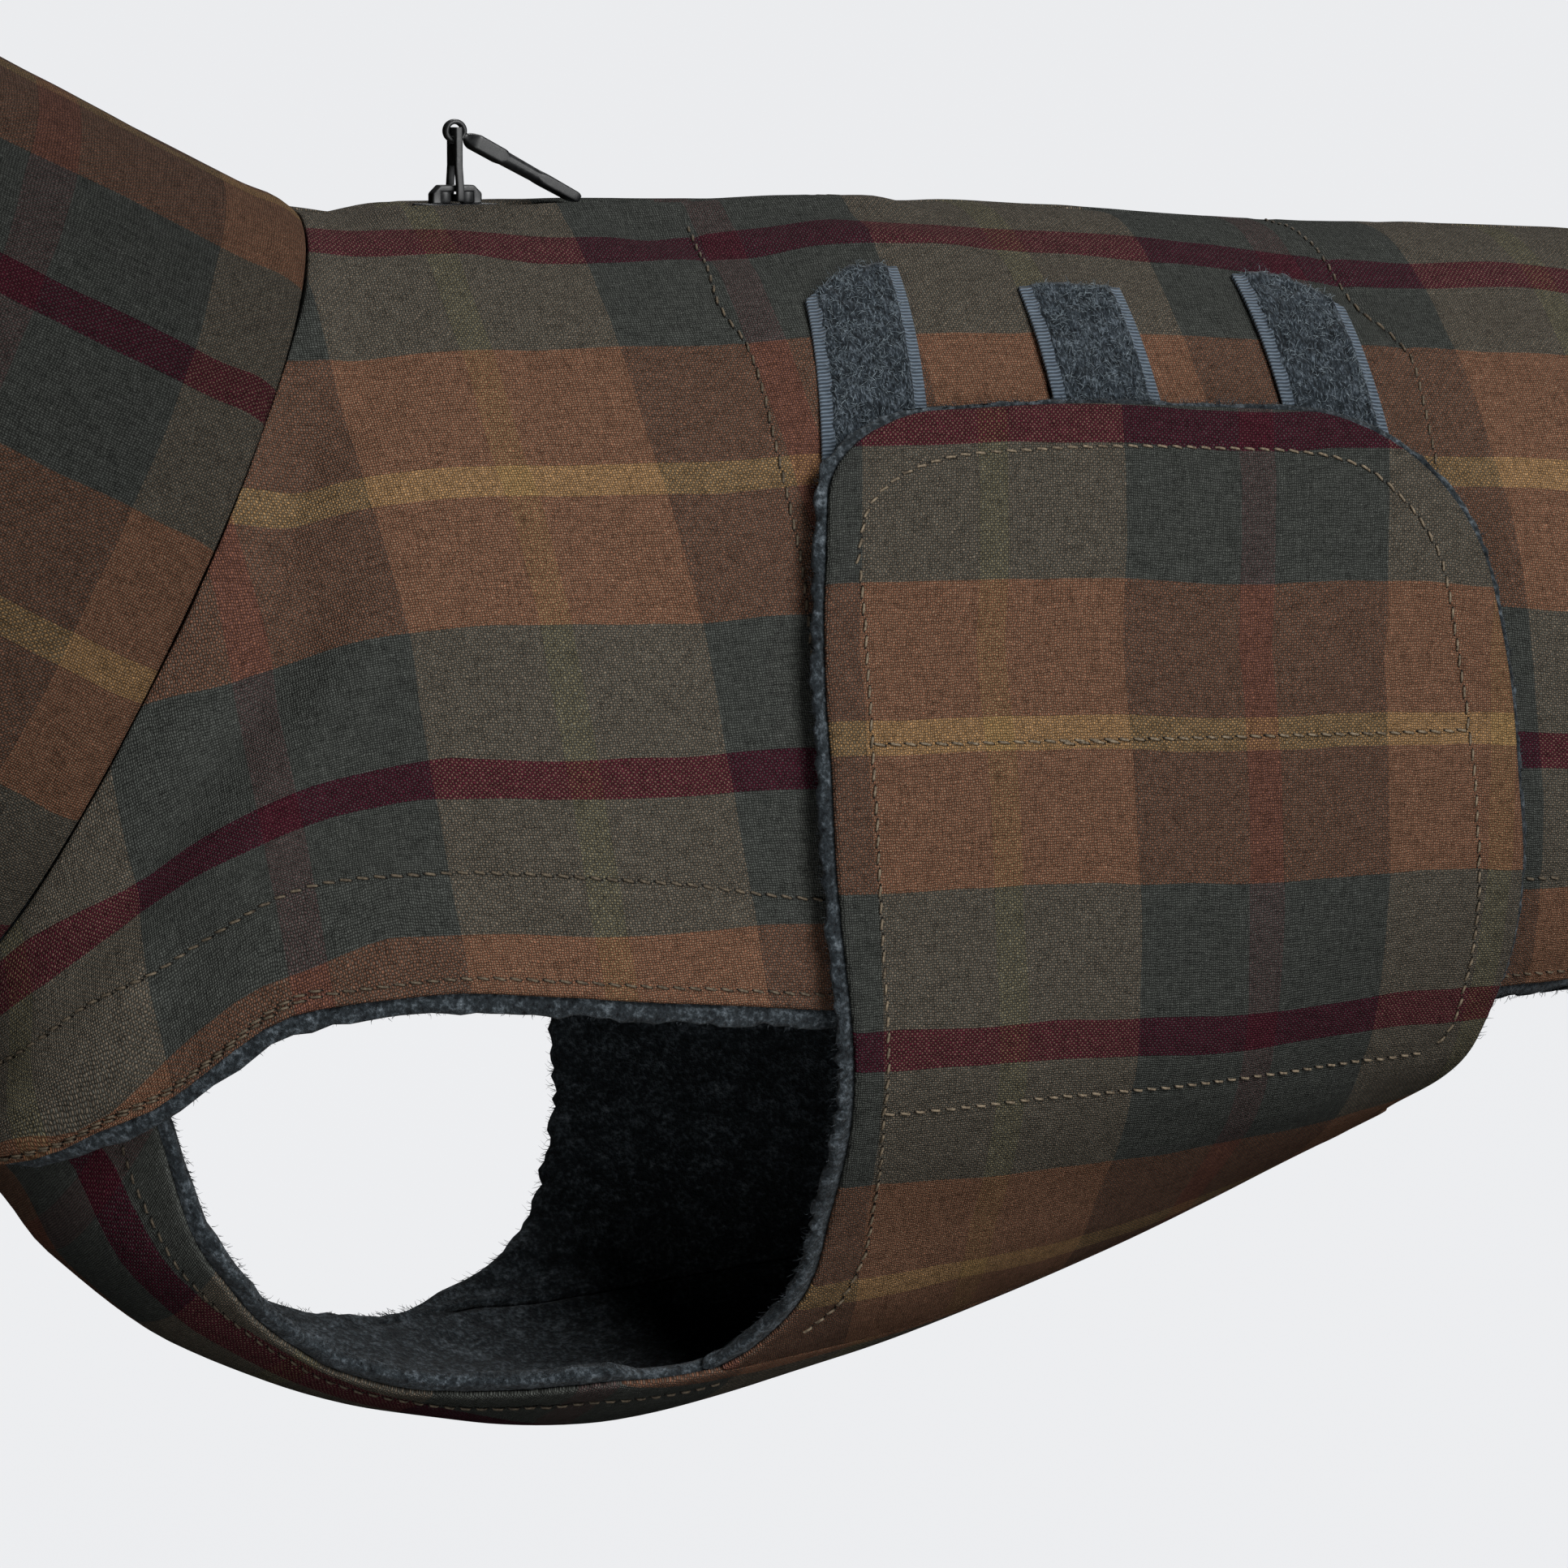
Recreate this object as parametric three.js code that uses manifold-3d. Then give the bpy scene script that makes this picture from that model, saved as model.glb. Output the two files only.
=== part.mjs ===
// Dog winter coat, filled out as if worn, with nothing inside it. Millimetres, +Z up.
// The head end points to -X and the tail end to +X. The coat's left side faces -Y.
// The origin is on the inside of the back lining, on the centre line, where the wearer carries the coat.
import * as THREE from "three";
import { mergeVertices } from "three/addons/utils/BufferGeometryUtils.js";
import Module from "manifold-3d";

const wasm = await Module();
wasm.setup();

// Driving sizes
const SHELL = 1.2; // woven outer cloth
const FLEECE = 3.0; // fleece lining with its pile
const SEAM = 0.3; // space between neighbouring pieces
const HELD_AT = 135; // from the neck seam back to the origin, along the back
const ROUNDNESS = 2.15; // 2 is an ellipse, more is squarer
const BACK_LENGTH = 480; // neck seam to tail hem
const HEM_CORNER = { length: 95, rise: 0.42 }; // rounded rear corner, and the share of the side that it takes
const FLEECE_PROUD = 3; // how far fleece shows past the cloth's edge
const HIDDEN_ROW = 0.5; // the lining's edge row where it doesn't show past the cloth
const COLLAR = { height: 118, puff: 0.3, puffAt: 12, flare: 0.9, flareFrom: 0.55 };
const ZIP = { start: 22, end: 116, slot: 4.8, endRound: 5, chain: 4.4 };
const WELT = { high: 2.2, at: 9, wide: 5.5, run: 14 }; // soft ridge on each side of the zip
const WING = { top: 75, lift: 6.9, liftFrom: 6, settle: 44, foot: 2 };
const WING_CORNERS = { front: { x: 22, down: 16 }, rear: { x: 33, down: 30 } };
const WING_PROUD = { front: 0.9, rear: 0.5, top: 0.5 }; // shares of FLEECE_PROUD that show at each edge
const CHEST_TUCK = { depth: 6.3, overlap: 4, full: 7, length: 16 };
const STRIP_LINING = { left: 98, right: 89, fade: 8 }; // s where the strip's lining stops showing
const PILE = { gap: 0.5, thick: 1.5 };

// Sections of the worn coat. s is measured along the back from the neck seam. Each section starts on the
// back line at that s, rise above the held point, and ends on the keel line under the chest and belly.
const SECTIONS = [
  { s: 0, rise: 0.2, keelS: -74, drop: -147, half: 54, widest: 0.48 },
  { s: 12, rise: -1, keelS: -71, drop: -176, half: 59.5, widest: 0.5 },
  { s: 30, rise: -0.8, keelS: -53, drop: -191, half: 66, widest: 0.52 },
  { s: 50, rise: -0.8, keelS: -24, drop: -214.8, half: 71, widest: 0.53 },
  { s: 75, rise: -1, keelS: 15, drop: -230.2, half: 75, widest: 0.54 },
  { s: 105, rise: -0.2, keelS: 55, drop: -236, half: 77, widest: 0.54 },
  { s: 135, rise: 0, keelS: 105, drop: -226.8, half: 77, widest: 0.53 },
  { s: 170, rise: -1.6, keelS: 158, drop: -211.2, half: 75, widest: 0.52 },
  { s: 210, rise: -4.2, keelS: 206, drop: -192.8, half: 71, widest: 0.5 },
  { s: 245, rise: -5.3, keelS: 245, drop: -178, half: 67, widest: 0.5 },
  { s: 275, rise: -7.1, keelS: 275, drop: -168, half: 64, widest: 0.5 },
  { s: 320, rise: -8.4, keelS: 320, drop: -158, half: 62.5, widest: 0.5 },
  { s: 380, rise: -10.4, keelS: 378, drop: -150, half: 61.5, widest: 0.5 },
  { s: 440, rise: -14.4, keelS: 436, drop: -143, half: 59.5, widest: 0.5 },
  { s: 490, rise: -20.4, keelS: 484, drop: -137, half: 57, widest: 0.5 },
];

// Lower edge of the back panel: down is the distance round the body from the centre back.
// It leaves the centre front at s 11.5, runs over the leg and rises to the tail.
const CENTRE_FRONT_END = 11.5;
const BACK_EDGE = [
  { s: 11.5, down: 252 },
  { s: 17, down: 233 },
  { s: 22, down: 225 },
  { s: 25, down: 218 },
  { s: 30, down: 210 },
  { s: 33, down: 201 },
  { s: 35, down: 194 },
  { s: 38, down: 188.5 },
  { s: 43, down: 185.2 },
  { s: 49, down: 183.2 },
  { s: 58, down: 181.7 },
  { s: 70, down: 182.2 },
  { s: 87, down: 184.2 },
  { s: 113, down: 187 },
  { s: 170, down: 188.5 },
  { s: 237, down: 188 },
  { s: 254, down: 188 },
  { s: 285, down: 183 },
  { s: 325, down: 169 },
  { s: 370, down: 151 },
  { s: 420, down: 133 },
  { s: 480, down: 116 },
];

// How far the chest and belly strip reaches up from the keel line on each side. The right side hangs
// a little lower behind the leg.
const STRIP_HALF = [
  { s: 20, left: 63, right: 63 },
  { s: 29.5, left: 57.5, right: 57.5 },
  { s: 34.5, left: 51.5, right: 51.5 },
  { s: 40.5, left: 45.5, right: 45.5 },
  { s: 46, left: 42.5, right: 42.5 },
  { s: 53, left: 36.5, right: 36.5 },
  { s: 58.5, left: 33.5, right: 33.5 },
  { s: 64, left: 31, right: 31 },
  { s: 71.5, left: 31, right: 30.5 },
  { s: 79, left: 33.5, right: 31.5 },
  { s: 86.5, left: 37.5, right: 35 },
  { s: 94.5, left: 42, right: 40 },
  { s: 102, left: 44.5, right: 42.5 },
  { s: 114, left: 44, right: 41.5 },
  { s: 122, left: 42, right: 40 },
  { s: 134, left: 36.5, right: 36 },
  { s: 155, left: 31, right: 31 },
  { s: 232, left: 27, right: 27 },
];
const STRIP_FRONT = [
  { up: 0, s: 11.5 },
  { up: 28, s: 17 },
  { up: 42, s: 22 },
  { up: 52, s: 25 },
  { up: 64, s: 29.5 },
];
const STRIP_REAR = { centre: 223, side: 225 };

// Front and rear edges of the belly wing, which laps over the outside of the back panel. The foot of
// the right wing is drawn further forward than the left one's.
const WING_FRONT = [
  { down: 75, left: 95.5, right: 95.5 },
  { down: 88, left: 96, right: 96 },
  { down: 110, left: 97, right: 97 },
  { down: 126, left: 99, right: 99 },
  { down: 141, left: 102, right: 102 },
  { down: 157, left: 105, right: 105 },
  { down: 172, left: 108.5, right: 108.5 },
  { down: 188, left: 112.5, right: 112 },
  { down: 211, left: 117, right: 115 },
  { down: 226, left: 119, right: 115.5 },
  { down: 248, left: 121, right: 113 },
  { down: 266, left: 118, right: 108.5 },
  { down: 273, left: 114.5, right: 107 },
];
const WING_REAR = [
  { down: 75, s: 217 },
  { down: 98, s: 219.5 },
  { down: 111, s: 221.8 },
  { down: 125, s: 224.3 },
  { down: 141, s: 226.3 },
  { down: 159, s: 229 },
  { down: 172, s: 229.5 },
  { down: 182, s: 228.8 },
  { down: 193, s: 227.4 },
  { down: 222, s: 224.5 },
];

// Loop strips on each side of the back, along the body's own s and down, front one first.
const LOOP_STRIPS = [
  { top: 38.5, bottom: 89, frontTop: 94, frontBottom: 96.5, wide: 20, cutFront: 8, cutRear: 0 },
  { top: 45.5, bottom: 92, frontTop: 136.5, frontBottom: 141, wide: 20.5, cutFront: 0, cutRear: 0 },
  { top: 40, bottom: 93, frontTop: 182, frontBottom: 185.5, wide: 21, cutFront: 0, cutRear: 8 },
];

// Largest soft folds of the back panel, as troughs between two places.
const FOLDS = [
  { s1: 6, down1: 60, s2: 26, down2: 150, wide: 9, deep: 1.5 },
  { s1: 16, down1: 150, s2: 4, down2: 205, wide: 9, deep: 2.2 },
  { s1: 34, down1: 120, s2: 28, down2: 186, wide: 10, deep: 1.6 },
  { s1: 258, down1: 20, s2: 300, down2: 120, wide: 15, deep: 1.8 },
  { s1: 330, down1: 30, s2: 372, down2: 120, wide: 17, deep: 2.0 },
];

// A smooth curve through a table's rows that never overshoots them.
function through(rows, key, value) {
  const x = rows.map((row) => row[key]);
  const y = rows.map((row) => row[value]);
  const step = x.slice(1).map((v, i) => v - x[i]);
  const slope = step.map((h, i) => (y[i + 1] - y[i]) / h);
  const tangent = x.map((_, i) => {
    if (i === 0) return slope[0];
    if (i === x.length - 1) return slope[i - 1];
    if (slope[i - 1] * slope[i] <= 0) return 0;
    const before = 2 * step[i] + step[i - 1];
    const after = step[i] + 2 * step[i - 1];
    return (before + after) / (before / slope[i - 1] + after / slope[i]);
  });
  return (at) => {
    const last = x.length - 1;
    if (at <= x[0]) return y[0] + (at - x[0]) * tangent[0];
    if (at >= x[last]) return y[last] + (at - x[last]) * tangent[last];
    let i = 0;
    while (at > x[i + 1]) i += 1;
    const t = (at - x[i]) / step[i];
    return (
      (1 + 2 * t) * (1 - t) ** 2 * y[i] +
      t * (1 - t) ** 2 * step[i] * tangent[i] +
      t * t * (3 - 2 * t) * y[i + 1] +
      t * t * (t - 1) * step[i] * tangent[i + 1]
    );
  };
}

// 0 before the start, 1 past the end, and a soft step between them.
const smooth = (value) => {
  const t = Math.min(1, Math.max(0, value));
  return t * t * (3 - 2 * t);
};

// The worn body's surface, which runs between the shell and the lining
const LEVEL = FLEECE + SEAM / 2;
const rise = through(SECTIONS, "s", "rise");
const keelS = through(SECTIONS, "s", "keelS");
const drop = through(SECTIONS, "s", "drop");
const halfWidth = through(SECTIONS, "s", "half");
const widest = through(SECTIONS, "s", "widest");
const SECTION_STEPS = 160;

const sections = new Map();
// The left half of the section at s: points from the centre back to the keel, with their running length.
function section(s) {
  if (sections.has(s)) return sections.get(s);
  const top = new THREE.Vector3(s - HELD_AT, 0, LEVEL + rise(s));
  const keel = new THREE.Vector3(keelS(s) - HELD_AT, 0, LEVEL + drop(s));
  const middle = widest(s);
  const points = [];
  const lengths = [0];
  for (let i = 0; i <= SECTION_STEPS; i += 1) {
    const turn = (Math.PI * i) / SECTION_STEPS;
    const c = Math.cos(turn);
    const flat = Math.abs(c) ** (2 / ROUNDNESS);
    const share = c > 0 ? middle * (1 - flat) : middle + (1 - middle) * flat;
    const point = top.clone().lerp(keel, share);
    point.y = -halfWidth(s) * Math.max(0, Math.sin(turn)) ** (2 / ROUNDNESS);
    if (i > 0) lengths.push(lengths[i - 1] + point.distanceTo(points[i - 1]));
    points.push(point);
  }
  const made = { points, lengths, total: lengths[SECTION_STEPS] };
  sections.set(s, made);
  return made;
}
const halfGirth = (s) => section(s).total;

// The point on the left side at s, down mm round from the centre back.
function bodyPoint(s, down) {
  const { points, lengths, total } = section(s);
  const at = Math.min(Math.max(down, 0), total);
  let i = 1;
  while (i < SECTION_STEPS && lengths[i] < at) i += 1;
  const t = (at - lengths[i - 1]) / (lengths[i] - lengths[i - 1]);
  return points[i - 1].clone().lerp(points[i], t);
}

const PROBE = 0.6; // half step of the slopes that give the normal
function bodyNormal(s, down) {
  const total = halfGirth(s);
  const low = Math.max(0, Math.min(down, total) - PROBE);
  const high = Math.min(total, Math.max(down, 0) + PROBE);
  const along = bodyPoint(s + PROBE, down).sub(bodyPoint(s - PROBE, down));
  if (down < PROBE || down > total - PROBE) along.y = 0;
  const round = bodyPoint(s, high).sub(bodyPoint(s, low));
  if (down < PROBE || down > total - PROBE) {
    // The section crosses the centre line square to it.
    round.set(0, down < PROBE ? -1 : 1, 0);
  }
  return along.cross(round).negate().normalize();
}

// The neck seam's plane: its middle, and the collar's axis, which points forwards and up.
const neck = section(0);
const neckTop = neck.points[0];
const neckKeel = neck.points[SECTION_STEPS];
const neckAxis = new THREE.Vector3(neckKeel.z - neckTop.z, 0, neckTop.x - neckKeel.x).normalize();
const neckMiddle = neckTop.clone().add(neckKeel).multiplyScalar(0.5);

// A place on the body moved out by lift, kept behind the neck seam, and mirrored on the right side.
function place(side, s, down, lift) {
  const point = bodyPoint(s, down).addScaledVector(bodyNormal(s, down), lift);
  const ahead = point.clone().sub(neckTop).dot(neckAxis) + SEAM;
  if (ahead > 0) point.addScaledVector(neckAxis, -ahead);
  point.y *= side === "left" ? 1 : -1;
  return point;
}

// A wall between two grids of points. inner and outer give the point of column i and row j. Where
// closed is true the last column joins the first.
function wall(columns, rows, inner, outer, closed = false) {
  const across = closed ? columns : columns + 1;
  const vertices = [];
  for (const layer of [inner, outer]) {
    for (let i = 0; i < across; i += 1) {
      for (let j = 0; j <= rows; j += 1) vertices.push(...layer(i, j).toArray());
    }
  }
  const layerSize = across * (rows + 1);
  const id = (layer, i, j) => layer * layerSize + (i % across) * (rows + 1) + j;
  const faces = [];
  const quad = (a, b, c, d) => faces.push(a, b, c, a, c, d);
  for (let i = 0; i < columns; i += 1) {
    for (let j = 0; j < rows; j += 1) {
      quad(id(1, i, j), id(1, i, j + 1), id(1, i + 1, j + 1), id(1, i + 1, j));
      quad(id(0, i, j), id(0, i + 1, j), id(0, i + 1, j + 1), id(0, i, j + 1));
    }
    quad(id(0, i, 0), id(1, i, 0), id(1, i + 1, 0), id(0, i + 1, 0));
    quad(id(1, i, rows), id(0, i, rows), id(0, i + 1, rows), id(1, i + 1, rows));
  }
  for (let j = 0; j < rows && !closed; j += 1) {
    quad(id(0, 0, j), id(0, 0, j + 1), id(1, 0, j + 1), id(1, 0, j));
    quad(id(1, columns, j), id(1, columns, j + 1), id(0, columns, j + 1), id(0, columns, j));
  }
  const geometry = new THREE.BufferGeometry();
  geometry.setAttribute("position", new THREE.Float32BufferAttribute(vertices, 3));
  geometry.setIndex(faces);
  return outwards(geometry);
}

// The same geometry with its faces turned so that they point out.
function outwards(geometry) {
  const p = geometry.getAttribute("position");
  const index = geometry.index.array;
  const [a, b, c] = [new THREE.Vector3(), new THREE.Vector3(), new THREE.Vector3()];
  let volume = 0;
  for (let i = 0; i < index.length; i += 3) {
    a.fromBufferAttribute(p, index[i]);
    b.fromBufferAttribute(p, index[i + 1]);
    c.fromBufferAttribute(p, index[i + 2]);
    volume += a.dot(b.cross(c));
  }
  if (volume < 0) {
    for (let i = 0; i < index.length; i += 3) [index[i], index[i + 1]] = [index[i + 1], index[i]];
  }
  return geometry;
}

// Materials
const cloth = (colour, roughness) =>
  new THREE.MeshStandardMaterial({ color: colour, roughness, metalness: 0 });
const plaid = () => cloth(0x5c4636, 0.85);
const fleece = () => cloth(0x39414a, 1);
const pileTape = () => cloth(0x4a5660, 0.95);
const blackPlastic = () => cloth(0x26282b, 0.45);

const coat = new THREE.Group();
function add(name, geometry, material) {
  const mesh = new THREE.Mesh(geometry, material);
  mesh.name = name;
  coat.add(mesh);
  return mesh;
}

// A shell and the lining under it, made on one grid so that they stay a seam's width apart.
// at(i, j) gives { s, down, lift } and proud(i, j) the same for the lining.
function clothPair(name, side, columns, rows, at, liningColumns, liningRows, proud) {
  const layer = (grid, level) => (i, j) => {
    const { s, down, lift } = grid(i, j);
    return place(side, s, down, lift + level);
  };
  add(
    `${name}_${side}`,
    wall(columns, rows, layer(at, SEAM / 2), layer(at, SEAM / 2 + SHELL)),
    plaid(),
  );
  add(
    `${name}_lining_${side}`,
    wall(liningColumns, liningRows, layer(proud, -SEAM / 2 - FLEECE), layer(proud, -SEAM / 2)),
    fleece(),
  );
}

// Back panel, one half on each side, which also makes the front of the chest
const backEdge = through(BACK_EDGE, "s", "down");
function lowerEdge(s) {
  const keel = halfGirth(s) - SEAM / 2;
  return s <= CENTRE_FRONT_END ? keel : Math.min(keel, backEdge(s));
}

// Distance of the panel's centre edge from the centre line: a seam, or the side of the zip's slot.
function centreEdge(s) {
  const open = smooth((s - ZIP.start) / ZIP.endRound) * smooth((ZIP.end - s) / ZIP.endRound);
  return SEAM / 2 + (ZIP.slot - SEAM / 2) * open;
}

// Welts beside the zip and the soft folds, which fade out past their ends.
const FOLD_FADE = 0.25; // share of a fold's length
function relief(s, down) {
  const { high, at, wide, run } = WELT;
  const zipLength = smooth((s - ZIP.start + run) / run) * smooth((ZIP.end + run - s) / run);
  let height = high * zipLength * Math.exp(-(((down - at) / wide) ** 2));
  for (const fold of FOLDS) {
    const [ds, dd] = [fold.s2 - fold.s1, fold.down2 - fold.down1];
    const length = Math.hypot(ds, dd);
    const t = ((s - fold.s1) * ds + (down - fold.down1) * dd) / length ** 2;
    const off = ((s - fold.s1) * dd - (down - fold.down1) * ds) / length;
    const ends = smooth((t + FOLD_FADE) / (2 * FOLD_FADE)) * smooth((1 + FOLD_FADE - t) / (2 * FOLD_FADE));
    height -= fold.deep * ends * Math.exp(-((off / fold.wide) ** 2));
  }
  return height;
}

// Columns of the back panel: close together at the neck, the zip's ends and the turn of the leg edge.
const BACK_COLUMNS = [
  SEAM, 6, 11.5, 17, 22, 27, 33, 38, 45, 55, 66, 80, 95, 111, 116, 124, 140, 160, 182, 205, 230, 256,
  282, 310, 340, 370, 400, 425, 445, 460, 472, BACK_LENGTH,
];
const BACK_ROWS = 11;

// The rear corner: how far forward of the tail hem the panel ends, at a share of the way down.
function hemLine(share) {
  const start = 1 - HEM_CORNER.rise;
  if (share <= start) return 0;
  const t = Math.min(1, (share - start) / HEM_CORNER.rise);
  return HEM_CORNER.length * (1 - Math.sqrt(1 - t * t));
}

// The panel's point of column i and row j. The lining has one more row, past the leg edge, and one
// more column, past the tail hem.
const HEM_FROM = 18; // the column where the rounded corner starts to draw the panel in
const HEM_PROUD = 2; // how far fleece shows past the tail hem
const LEG_EDGE_FREE = 8; // length over which the lining comes out past the leg edge
function backPlace(i, j) {
  const last = BACK_COLUMNS.length - 1;
  const share = Math.min(j, BACK_ROWS) / BACK_ROWS;
  const base = BACK_COLUMNS[Math.min(i, last)];
  const squeeze = hemLine(share) / (BACK_LENGTH - BACK_COLUMNS[HEM_FROM]);
  let s = base - Math.max(0, base - BACK_COLUMNS[HEM_FROM]) * squeeze;
  if (i > last) s += HEM_PROUD;
  const inner = centreEdge(s);
  const down = inner + (lowerEdge(s) - inner) * share;
  return { s, down, lift: relief(s, down) };
}
function backLiningPlace(i, j) {
  const here = backPlace(i, j);
  const free = smooth((here.s - CENTRE_FRONT_END) / LEG_EDGE_FREE);
  if (j === BACK_ROWS) here.down -= HIDDEN_ROW * (1 - free);
  if (j > BACK_ROWS) here.down = lowerEdge(here.s) + FLEECE_PROUD * free;
  return here;
}
for (const side of ["left", "right"]) {
  const last = BACK_COLUMNS.length - 1;
  clothPair("back", side, last, BACK_ROWS, backPlace, last + 1, BACK_ROWS + 1, backLiningPlace);
}

// Chest and belly strip under the body, from the chest to the rear of the wings
const stripHalf = { left: through(STRIP_HALF, "s", "left"), right: through(STRIP_HALF, "s", "right") };
const stripFront = through(STRIP_FRONT, "up", "s");
const STRIP_COLUMNS = 26;
const STRIP_ROWS = 6;
const STRIP_CROWDING = 1.15; // above 1, columns lie closer together at the front

// The strip's front end is tucked inside the back panel's lower edge.
const tuck = (s, up) =>
  -CHEST_TUCK.depth * (1 - smooth((s - stripFront(up) - CHEST_TUCK.full) / CHEST_TUCK.length));

// The strip's point of column i and row j. The lining has one more row past each side.
function stripPlace(i, j) {
  const across = Math.min(1, Math.max(-1, (2 * j) / STRIP_ROWS - 1));
  const share = Math.abs(across);
  const frontUp = STRIP_HALF[0].left * share;
  const front = stripFront(frontUp) - CHEST_TUCK.overlap;
  const rear = STRIP_REAR.centre + (STRIP_REAR.side - STRIP_REAR.centre) * share;
  const s = front + (rear - front) * (i / STRIP_COLUMNS) ** STRIP_CROWDING;
  const side = across <= 0 ? "left" : "right";
  return { s, up: (stripHalf[side](s) - SEAM / 2) * share, side };
}
const stripPoint = (level) => (i, j) => {
  const { s, up, side } = stripPlace(i, j);
  return place(side, s, halfGirth(s) - up, tuck(s, up) + level);
};
const stripLiningPoint = (level) => (i, j) => {
  const here = stripPlace(i, j - 1);
  const shows = 1 - smooth((here.s - STRIP_LINING[here.side]) / STRIP_LINING.fade);
  if (j === 1 || j === STRIP_ROWS + 1) here.up -= HIDDEN_ROW * (1 - shows);
  if (j === 0 || j === STRIP_ROWS + 2) here.up += FLEECE_PROUD * shows;
  return place(here.side, here.s, halfGirth(here.s) - here.up, tuck(here.s, here.up) + level);
};
add(
  "chest_strip",
  wall(STRIP_COLUMNS, STRIP_ROWS, stripPoint(SEAM / 2), stripPoint(SEAM / 2 + SHELL)),
  plaid(),
);
add(
  "chest_strip_lining",
  wall(
    STRIP_COLUMNS,
    STRIP_ROWS + 2,
    stripLiningPoint(-SEAM / 2 - FLEECE),
    stripLiningPoint(-SEAM / 2),
  ),
  fleece(),
);

// Belly wings, sewn to the strip and lapped over the back panel's outside
const wingFront = {
  left: through(WING_FRONT, "down", "left"),
  right: through(WING_FRONT, "down", "right"),
};
const wingRear = through(WING_REAR, "down", "s");
const WING_COLUMNS = 10;
const WING_ROWS = 12;
const WING_CROWDING = 1.4; // above 1, rows lie closer together at the top
const EDGE_STEPS = 12;

// How far a rounded corner draws the edge in, at a distance below the wing's top.
function cornerIn(corner, below) {
  if (below >= corner.down) return 0;
  const t = 1 - Math.max(0, below) / corner.down;
  return corner.x * (1 - Math.sqrt(1 - t * t));
}
const wingFoot = (side, s) => halfGirth(s) - stripHalf[side](s) - SEAM / 2;
const wingDown = (side, s, share) => WING.top + (wingFoot(side, s) - WING.top) * share;

// The s of an edge at a share of the way down, found by stepping towards it.
function wingEdge(side, table, corner, sign, share) {
  let s = table(WING.top);
  for (let step = 0; step < EDGE_STEPS; step += 1) {
    const down = wingDown(side, s, share);
    s = table(down) + sign * cornerIn(corner, down - WING.top);
  }
  return s;
}
function wingLift(side, s, down) {
  const from = lowerEdge(s) + WING.liftFrom;
  const length = Math.min(WING.settle, wingFoot(side, s) - WING.foot - from);
  return WING.lift * (1 - smooth((down - from) / length));
}
function wingPlace(side, i, j, proud) {
  const share = (Math.min(Math.max(j, 0), WING_ROWS) / WING_ROWS) ** WING_CROWDING;
  const front = wingEdge(side, wingFront[side], WING_CORNERS.front, 1, share);
  const rear = wingEdge(side, wingRear, WING_CORNERS.rear, -1, share);
  let s = front + ((rear - front) * Math.min(Math.max(i, 0), WING_COLUMNS)) / WING_COLUMNS;
  if (i < 0) s -= proud * WING_PROUD.front;
  if (i > WING_COLUMNS) s += proud * WING_PROUD.rear;
  let down = wingDown(side, s, share);
  if (j < 0) down -= proud * WING_PROUD.top;
  return { s, down, lift: wingLift(side, s, down) };
}
for (const side of ["left", "right"]) {
  clothPair(
    "wing",
    side,
    WING_COLUMNS,
    WING_ROWS,
    (i, j) => wingPlace(side, i, j, 0),
    WING_COLUMNS + 2,
    WING_ROWS + 1,
    (i, j) => wingPlace(side, i - 1, j - 1, FLEECE_PROUD),
  );
}

// Collar: a standing tube from the neck seam, forwards and up
const NECK_ROUND = 28;
const COLLAR_RINGS = [0, 4, COLLAR.puffAt, 36, 66, 94, COLLAR.height];
function collarPoint(level) {
  return (i, j) => {
    const turn = i / NECK_ROUND;
    const side = turn <= 0.5 ? "left" : "right";
    const down = neck.total * (turn <= 0.5 ? 2 * turn : 2 - 2 * turn);
    const along = COLLAR_RINGS[j];
    const point = bodyPoint(0, down);
    const out = point.clone().sub(neckMiddle).normalize();
    const puff = COLLAR.puff * smooth(along / COLLAR.puffAt);
    const past = (along / COLLAR.height - COLLAR.flareFrom) / (1 - COLLAR.flareFrom);
    const flare = COLLAR.flare * smooth(past);
    point.addScaledVector(out, puff + flare + level).addScaledVector(neckAxis, along);
    point.y *= side === "left" ? 1 : -1;
    return point;
  };
}
const collarRows = COLLAR_RINGS.length - 1;
add(
  "collar",
  wall(NECK_ROUND, collarRows, collarPoint(SEAM / 2), collarPoint(SEAM / 2 + SHELL), true),
  plaid(),
);
add(
  "collar_lining",
  wall(NECK_ROUND, collarRows, collarPoint(-SEAM / 2 - FLEECE), collarPoint(-SEAM / 2), true),
  fleece(),
);

// Loop strips that the wings fasten to
const LOOP_COLUMNS = 2;
const LOOP_ROWS = 6;
LOOP_STRIPS.forEach((strip, n) => {
  for (const side of ["left", "right"]) {
    const grid = (level) => (i, j) => {
      const across = i / LOOP_COLUMNS;
      const cut = strip.cutFront * (1 - across) + strip.cutRear * across;
      const top = strip.top + cut * (i === 1 ? 0 : 1);
      const share = j / LOOP_ROWS;
      const down = top + (strip.bottom - top) * share;
      const lean = (down - strip.top) / (strip.bottom - strip.top);
      const s = strip.frontTop + (strip.frontBottom - strip.frontTop) * lean + strip.wide * across;
      return place(side, s, down, relief(s, down) + SEAM / 2 + SHELL + PILE.gap + level);
    };
    add(
      `loop_strip_${side}_${n + 1}`,
      wall(LOOP_COLUMNS, LOOP_ROWS, grid(0), grid(PILE.thick)),
      pileTape(),
    );
  }
});

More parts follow.
